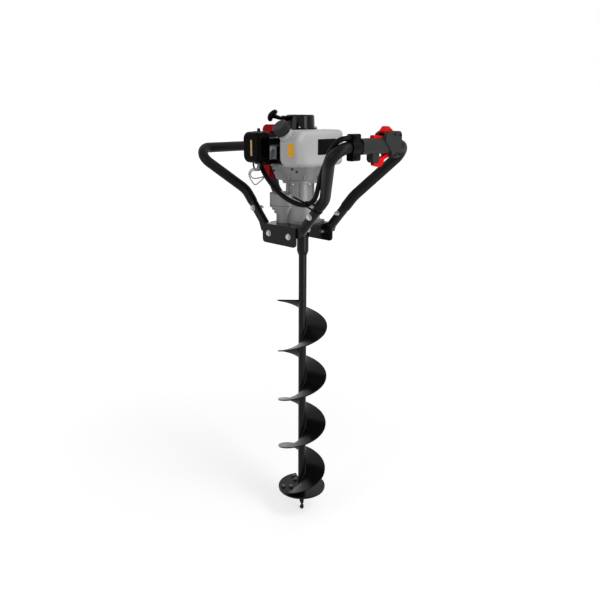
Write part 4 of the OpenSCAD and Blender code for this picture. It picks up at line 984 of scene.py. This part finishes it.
@dataclass
class Fittings:
    """Screws, washers and gaskets on the engine, gear case, bracket and throttle grip."""

    engine: Pair = (0.0, -0.012)
    countershaft: Pair = (-0.034858, -0.039258)
    split: float = 1.002
    case_radius: float = 0.0491
    lobe_radius: float = 0.0424
    gasket_half: float = 0.0006
    rib_heights: Sequence[float] = (1.094, 1.102, 1.110, 1.182, 1.190, 1.198, 1.206)
    rib_half: float = 0.0016
    washer: Sequence[Pair] = (
        (0.0086, -0.0004), (0.0088, 0.0), (0.0088, 0.0011), (0.0084, 0.0015),
    )
    washer_sink: float = 0.0008

    def round_engine(self, radius: float, z: float, angles: Sequence[float],
                     tilt: float) -> list[Place]:
        """Places round the engine's axis.

        Args:
            radius: Distance from the axis.
            z: Height.
            angles: Directions in degrees.
            tilt: Rise of each place's axis in degrees, 90 for straight up.

        Returns:
            Point and axis of each place.
        """
        rise = math.radians(tilt)
        made = []
        for turn in map(math.radians, angles):
            x, y = math.cos(turn), math.sin(turn)
            at = (self.engine[0] + radius * x, self.engine[1] + radius * y, z)
            made.append((at, (x * math.cos(rise), y * math.cos(rise), math.sin(rise))))
        return made

    @staticmethod
    def on_side(x: float, spots: Sequence[Pair]) -> list[Place]:
        """Places that face +X at a distance, from Y and Z in millimetres."""
        return [((x, y / MM_PER_M, z / MM_PER_M), OUT) for y, z in spots]

    def gasket(self) -> None:
        """Turns the dark gasket that shows at the gear case's split."""
        half = self.gasket_half
        rings = []
        for name, centre, radius in (("ring", (0.0, 0.0), self.case_radius),
                                     ("lobe", self.countershaft, self.lobe_radius)):
            profile = [(radius, -half), (radius + half, -half / 2), (radius + half, half / 2),
                       (radius, half)]
            rings.append(lathe("gasket_" + name, profile, (*centre, self.split), UP, 72))
        put(joined("case_gasket", rings), "frame", "seal_rubber")

    def ribs(self) -> None:
        """Raises moulded ribs on the outer face of the red shroud, above and below the plug."""
        made = []
        for z in self.rib_heights:
            piece = block("rib", (-0.1135, -0.040, z - self.rib_half),
                          (-0.1115, 0.016, z + self.rib_half))
            with editing(piece):
                round_edges(piece, lambda a, b: abs(a.x - b.x) > 0.001, 0.0014, 4)
            soften(piece, 0.0005, 2, 40)
            made.append(piece)
        put(joined("shroud_ribs", made), "frame", "shroud_red")

    def washers(self) -> None:
        """Turns a washer under each bolt head on the bracket and the leg sockets."""
        made = []
        for side in (-1, 1):
            for y, facing in ((-0.096, -1), (0.055, 1)):
                made.append(((side * 0.040, y, 0.925), facing))
            for y, facing in ((-0.0906, -1), (0.0496, 1)):
                made.append(((side * 0.1142, y - facing * self.washer_sink, 0.9874), facing))
        rings = [lathe(f"washer_{i}", self.washer, at, (0, facing, 0), 32)
                 for i, (at, facing) in enumerate(made)]
        put(joined("bolt_washers", rings), "frame", "zinc_steel")

    def build(self) -> None:
        """Builds every fitting."""
        self.gasket()
        self.washers()
        starter = self.round_engine(0.0446, 1.215, (-47, 33, 133, 213), 90)
        Screws("starter_screws", 0.0024, starter).build()
        neck = self.round_engine(0.0452, 1.066, range(50, 410, 60), -90)
        Screws("neck_screws", 0.0034, neck).build()
        bowl = self.round_engine(0.0795, 1.1085, (-60, 60, 120, 240), -22)
        bowl += self.round_engine(0.0765, 1.1012, (-51.5, 68, 112, 248), -22)
        Screws("bowl_screws", 0.003, bowl, "seal_rubber").build()
        grip = self.on_side(0.287, ((-109, 1199), (-108, 1153.5)))
        Screws("grip_screws", 0.0032, grip, "black_paint").build()
        switch = self.on_side(0.2945, ((33.5, 1153), (52, 1155), (30, 1204), (52, 1202)))
        Screws("block_screws", 0.0026, switch, "black_paint").build()
        caps = [((0.2936, 0.042, 1.158), OUT), ((0.2584, 0.042, 1.158), (-1, 0, 0))]
        Screws("pivot_caps", 0.003, caps, "black_paint", 0.0022).build()
        self.ribs()
        carburettor = self.on_side(-0.042, ((-108, 1162), (-108, 1130), (-68, 1130)))
        Screws("carburettor_screws", 0.0024, carburettor).build()


@dataclass
class Cords:
    """Throttle conduit, stop leads and the starter's rope, with routes in millimetres."""

    conduit: Sequence[Point] = (
        (276, -90, 1198), (276, -106, 1198), (276, -118, 1198), (275, -128, 1198),
        (264, -146.5, 1192), (243, -149.5, 1169), (214, -137.5, 1136), (189, -124.5, 1107),
        (165, -109.5, 1075), (147, -100, 1046), (133.5, -99, 1031.5), (119.5, -99.8, 1024),
        (104, -101, 1020), (80.5, -104, 1021.6), (56.6, -107, 1027.9), (34, -109, 1037.2),
        (14, -111, 1048.8), (-4.5, -112, 1062.5), (-21.4, -112, 1076.3), (-36.6, -111, 1090.3),
        (-50, -109, 1104), (-57.5, -107, 1113), (-60, -106, 1120.5),
    )
    lead: Sequence[Point] = (
        (-36, -110, 1090), (-41, -113, 1081), (-47, -123, 1070), (-52, -134, 1063),
        (-57, -141, 1072), (-61, -146, 1084), (-62, -147, 1096), (-56, -141, 1106),
        (-48, -134, 1106), (-46, -129, 1113), (-47, -128, 1122.5),
    )
    strand: Sequence[Point] = (
        (-44, -125.5, 1122.5), (-42, -127.5, 1112.5), (-45, -134, 1102.2), (-53.4, -139.5, 1102.2),
        (-59.3, -144.2, 1095), (-58.5, -143.2, 1086), (-55, -136.5, 1080.5), (-50, -127, 1080.5),
        (-43, -116, 1083.5), (-36.5, -111.5, 1087),
    )
    loop: Sequence[Point] = (
        (-65, -128, 1123.5), (-65, -128, 1116), (-62, -128, 1108), (-56, -128, 1103.5),
        (-49, -128, 1102), (-42, -128, 1103.5), (-36, -128, 1108), (-33, -128, 1116),
        (-33, -128, 1123.5),
    )
    steps: int = 16
    rope_start: Point = (-0.022, -0.006, 1.239)
    rope_length: float = 0.06
    rope_parts: int = 80
    rope_radius: float = 0.00165

    def sleeve(self) -> None:
        path = even_path(smooth_path(self.conduit, self.steps), 0.003)
        piece = swept("throttle_sleeve", path, 0.0065, (), 8)
        put(piece, "frame", "black_plastic", ["throttle_conduit"], 60)

    def wire_run(self, name: str, points: Sequence[Point], thick: float, slot: str,
                 replaces: Sequence[str] = ()) -> None:
        """Args:
            name: Name of the piece.
            points: Its route in millimetres.
            thick: Its diameter.
            slot: Its finish.
            replaces: CAD nodes that it stands for.
        """
        path = even_path(smooth_path(points, self.steps), 0.002)
        piece = put(swept(name, path, thick / 2, (), 4), "frame", slot, replaces, 60)

    def rope(self) -> None:
        """Sweeps the starter's rope, which stretches from the reel to the pulled handle."""
        x, y, z = self.rope_start
        count = range(self.rope_parts + 1)
        path = [Vector((x, y - self.rope_length * i / self.rope_parts, z)) for i in count]
        radii = [1.0 + 0.05 * math.sin(i * 2.4) for i in count]
        piece = swept("braided_rope", path, self.rope_radius, radii, 3)
        only(piece)
        bpy.ops.object.shade_smooth()
        piece.data.materials.append(FINISHES["rope_cord"].material())
        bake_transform(piece)
        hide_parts("starter_rope")

    def build(self) -> None:
        """Builds the cords."""
        self.sleeve()
        self.wire_run("stop_lead", self.lead, 0.0037, "wire_sleeve", ["stop_wires"])
        self.wire_run("stop_strand", self.strand, 0.0037, "wire_sleeve")
        self.wire_run("choke_loop", self.loop, 0.005, "black_plastic")
        self.rope()


@dataclass
class StarterGrip:
    """Moulded T-handle at the end of the starter's rope, with lines in millimetres."""

    bar: Sequence[Point] = (
        (-28, -95, 1233.5), (-23.5, -103, 1240.5), (-15.5, -107, 1248), (-8, -103, 1254.5),
        (-2.5, -95, 1257.5),
    )
    neck: Sequence[Point] = (
        (-15.5, -104, 1247), (-17.2, -88, 1244), (-20.3, -72, 1240.6), (-22, -59.5, 1239),
    )
    thick: float = 0.0068
    taper: float = 0.28
    tip: float = 0.1
    tip_points: int = 4
    step: float = 0.0015
    skin: float = 0.0008

    def build(self) -> None:
        """Grows the bar and the neck into one skin and hangs the handle on the rope."""
        path = even_path(smooth_path(self.bar, 12), self.step)
        last = len(path) - 1
        full = [self.tip + min(i, last - i) / self.tip_points for i in range(last + 1)]
        shares = [math.sqrt(min(1.0, share)) for share in full]
        bar = swept("grip_bar", path, self.thick, shares, 6)
        path = even_path(smooth_path(self.neck, 12), self.step)
        last = len(path) - 1
        shares = [1.0 - self.taper * i / last for i in range(last + 1)]
        neck = swept("grip_neck", path, self.thick, shares, 6)
        piece = joined("starter_grip", [bar, neck])
        modify(piece, "REMESH", mode="VOXEL", voxel_size=self.skin)
        modify(piece, "SMOOTH", factor=0.5, iterations=8)
        put(piece, "pull_handle", "black_plastic", ["starter_handle"], 60)


# Stage


@dataclass
class Studio:
    """Camera, floor and light."""

    place: Point = (1.32583, -1.32583, 1.266)
    pitch: float = math.radians(16.35)
    roll: float = math.radians(0.25)
    lens: float = 39.24
    sensor: float = 36.0
    shift: float = -2.5 / 600
    surround: float = 0.45
    floor_z: float = -0.0005
    floor_radius: float = 40
    # Distances from the bit between which the floor's glow rises, and its two levels
    glow_reach: Pair = (0.3, 2.4)
    glow: Pair = (0.57, 0.82)

    def camera(self) -> None:
        """Sets the camera at the photograph's view."""
        data = bpy.data.cameras.new("view")
        data.sensor_width, data.lens, data.shift_x = self.sensor, self.lens, self.shift
        h = math.sqrt(0.5)
        c, s = math.cos(self.pitch), math.sin(self.pitch)
        right, up = Vector((h, h, 0)), Vector((-h * s, h * s, c))
        ahead = Vector((-h * c, h * c, -s))
        tilt_right = right * math.cos(self.roll) + up * math.sin(self.roll)
        tilt_up = up * math.cos(self.roll) - right * math.sin(self.roll)
        turn = Matrix((tilt_right, tilt_up, -ahead)).transposed().to_4x4()
        camera = bpy.data.objects.new("view", data)
        bpy.context.scene.collection.objects.link(camera)
        camera.matrix_world = Matrix.Translation(self.place) @ turn
        bpy.context.scene.camera = camera

    def world(self) -> None:
        """Soft white surround, plain white to the camera and in reflections."""
        world = bpy.data.worlds.new("studio")
        bpy.context.scene.world = world
        world.use_nodes = True
        tree = world.node_tree
        tree.nodes["Background"].name = "light"
        preset(tree.nodes["light"], {"Color": (1.0, 1.0, 1.0, 1.0)})
        add_node(tree, "LightPath", "path")
        add_node(tree, "Math", "seen", operation="MAXIMUM")
        add_node(tree, "Math", "shown", operation="MAXIMUM")
        add_node(tree, "MapRange", "level", {"To Min": self.surround, "To Max": 1.0})
        wire(tree, ("path", "Is Camera Ray", "seen", 0),
             ("path", "Is Transmission Ray", "seen", 1), ("seen", 0, "shown", 0),
             ("path", "Is Glossy Ray", "shown", 1), ("shown", 0, "level", "Value"),
             ("level", "Result", "light", "Strength"))

    def floor(self) -> None:
        """Pale floor that is near white to the camera and keeps the shadow."""
        bpy.ops.mesh.primitive_circle_add(radius=self.floor_radius, vertices=96, fill_type="NGON",
                                          location=(0, 0, self.floor_z))
        floor = named("floor")
        made = bpy.data.materials.new("pale_floor")
        made.use_nodes = True
        tree = made.node_tree
        shader = tree.nodes["Principled BSDF"]
        shader.name = "shader"
        preset(shader, {
            "Roughness": 0.9,
            "Specular IOR Level": 0.1,
            "Base Color": (0.55, 0.55, 0.55, 1.0),
            "Emission Color": (1.0, 1.0, 1.0, 1.0),
        })
        add_node(tree, "LightPath", "path")
        add_node(tree, "Math", "seen", operation="MAXIMUM")
        add_node(tree, "TexCoord", "coords")
        add_node(tree, "VectorMath", "reach", operation="LENGTH")
        labels = ("From Min", "From Max", "To Min", "To Max")
        levels = dict(zip(labels, (*self.glow_reach, *self.glow)))
        add_node(tree, "MapRange", "spread", levels, interpolation_type="SMOOTHSTEP")
        add_node(tree, "Math", "glow", operation="MULTIPLY")
        wire(tree, ("path", "Is Camera Ray", "seen", 0), ("path", "Is Glossy Ray", "seen", 1),
             ("coords", "Object", "reach", 0), ("reach", "Value", "spread", "Value"),
             ("seen", 0, "glow", 0), ("spread", "Result", "glow", 1),
             ("glow", 0, "shader", "Emission Strength"))
        floor.data.materials.append(made)

    def lamp(self, name: str, at: Point, aim: Point, size: Pair,
             power: float) -> None:
        """Adds a soft area lamp.

        Args:
            name: Name of the lamp.
            at: Its place.
            aim: Point that it faces.
            size: Its two sides.
            power: Its power in watts.
        """
        data = bpy.data.lights.new(name, "AREA")
        data.shape, data.energy = "RECTANGLE", power
        data.size, data.size_y = size
        lamp = bpy.data.objects.new(name, data)
        bpy.context.scene.collection.objects.link(lamp)
        back = (Vector(at) - Vector(aim)).normalized()
        lamp.matrix_world = Matrix.Translation(at) @ turned(back)

    def build(self) -> None:
        """Sets the stage."""
        self.camera()
        self.world()
        self.floor()
        self.lamp("key", (1.7, 0.2, 2.4), (0, 0, 1.0), (1.0, 1.0), 20)
        self.lamp("side", (2.1, -0.05, 0.75), (0, 0, 0.75), (1.9, 0.75), 25)
        self.lamp("fill", (-0.1, -2.3, 1.7), (0, 0, 0.9), (1.4, 1.4), 11)
        bpy.context.scene.view_settings.view_transform = "Standard"


def dress_nodes() -> None:
    """Gives every CAD node the finish of its slot, and the carburettor a brighter casting."""
    special = {"carburettor": "bright_cast"}
    for row in frame["record"]["subparts"]:
        node = frame["nodes"][row["node"]]
        finish = FINISHES[special.get(row["node"], row["material_slot"])]
        node.data.materials.clear()
        node.data.materials.append(finish.material())


def main() -> None:
    """Builds the scene in order."""
    logging.basicConfig(level=logging.INFO, format="%(name)s: %(message)s")
    bpy.ops.object.select_all(action="DESELECT")
    Studio().build()
    dress_nodes()
    Cords().build()
    StarterGrip().build()
    Bit().build()
    Handlebars().build()
    Tank().build()
    AirFilter().build()
    Intake().build()
    Fittings().build()


if __name__ == "__main__":
    main()
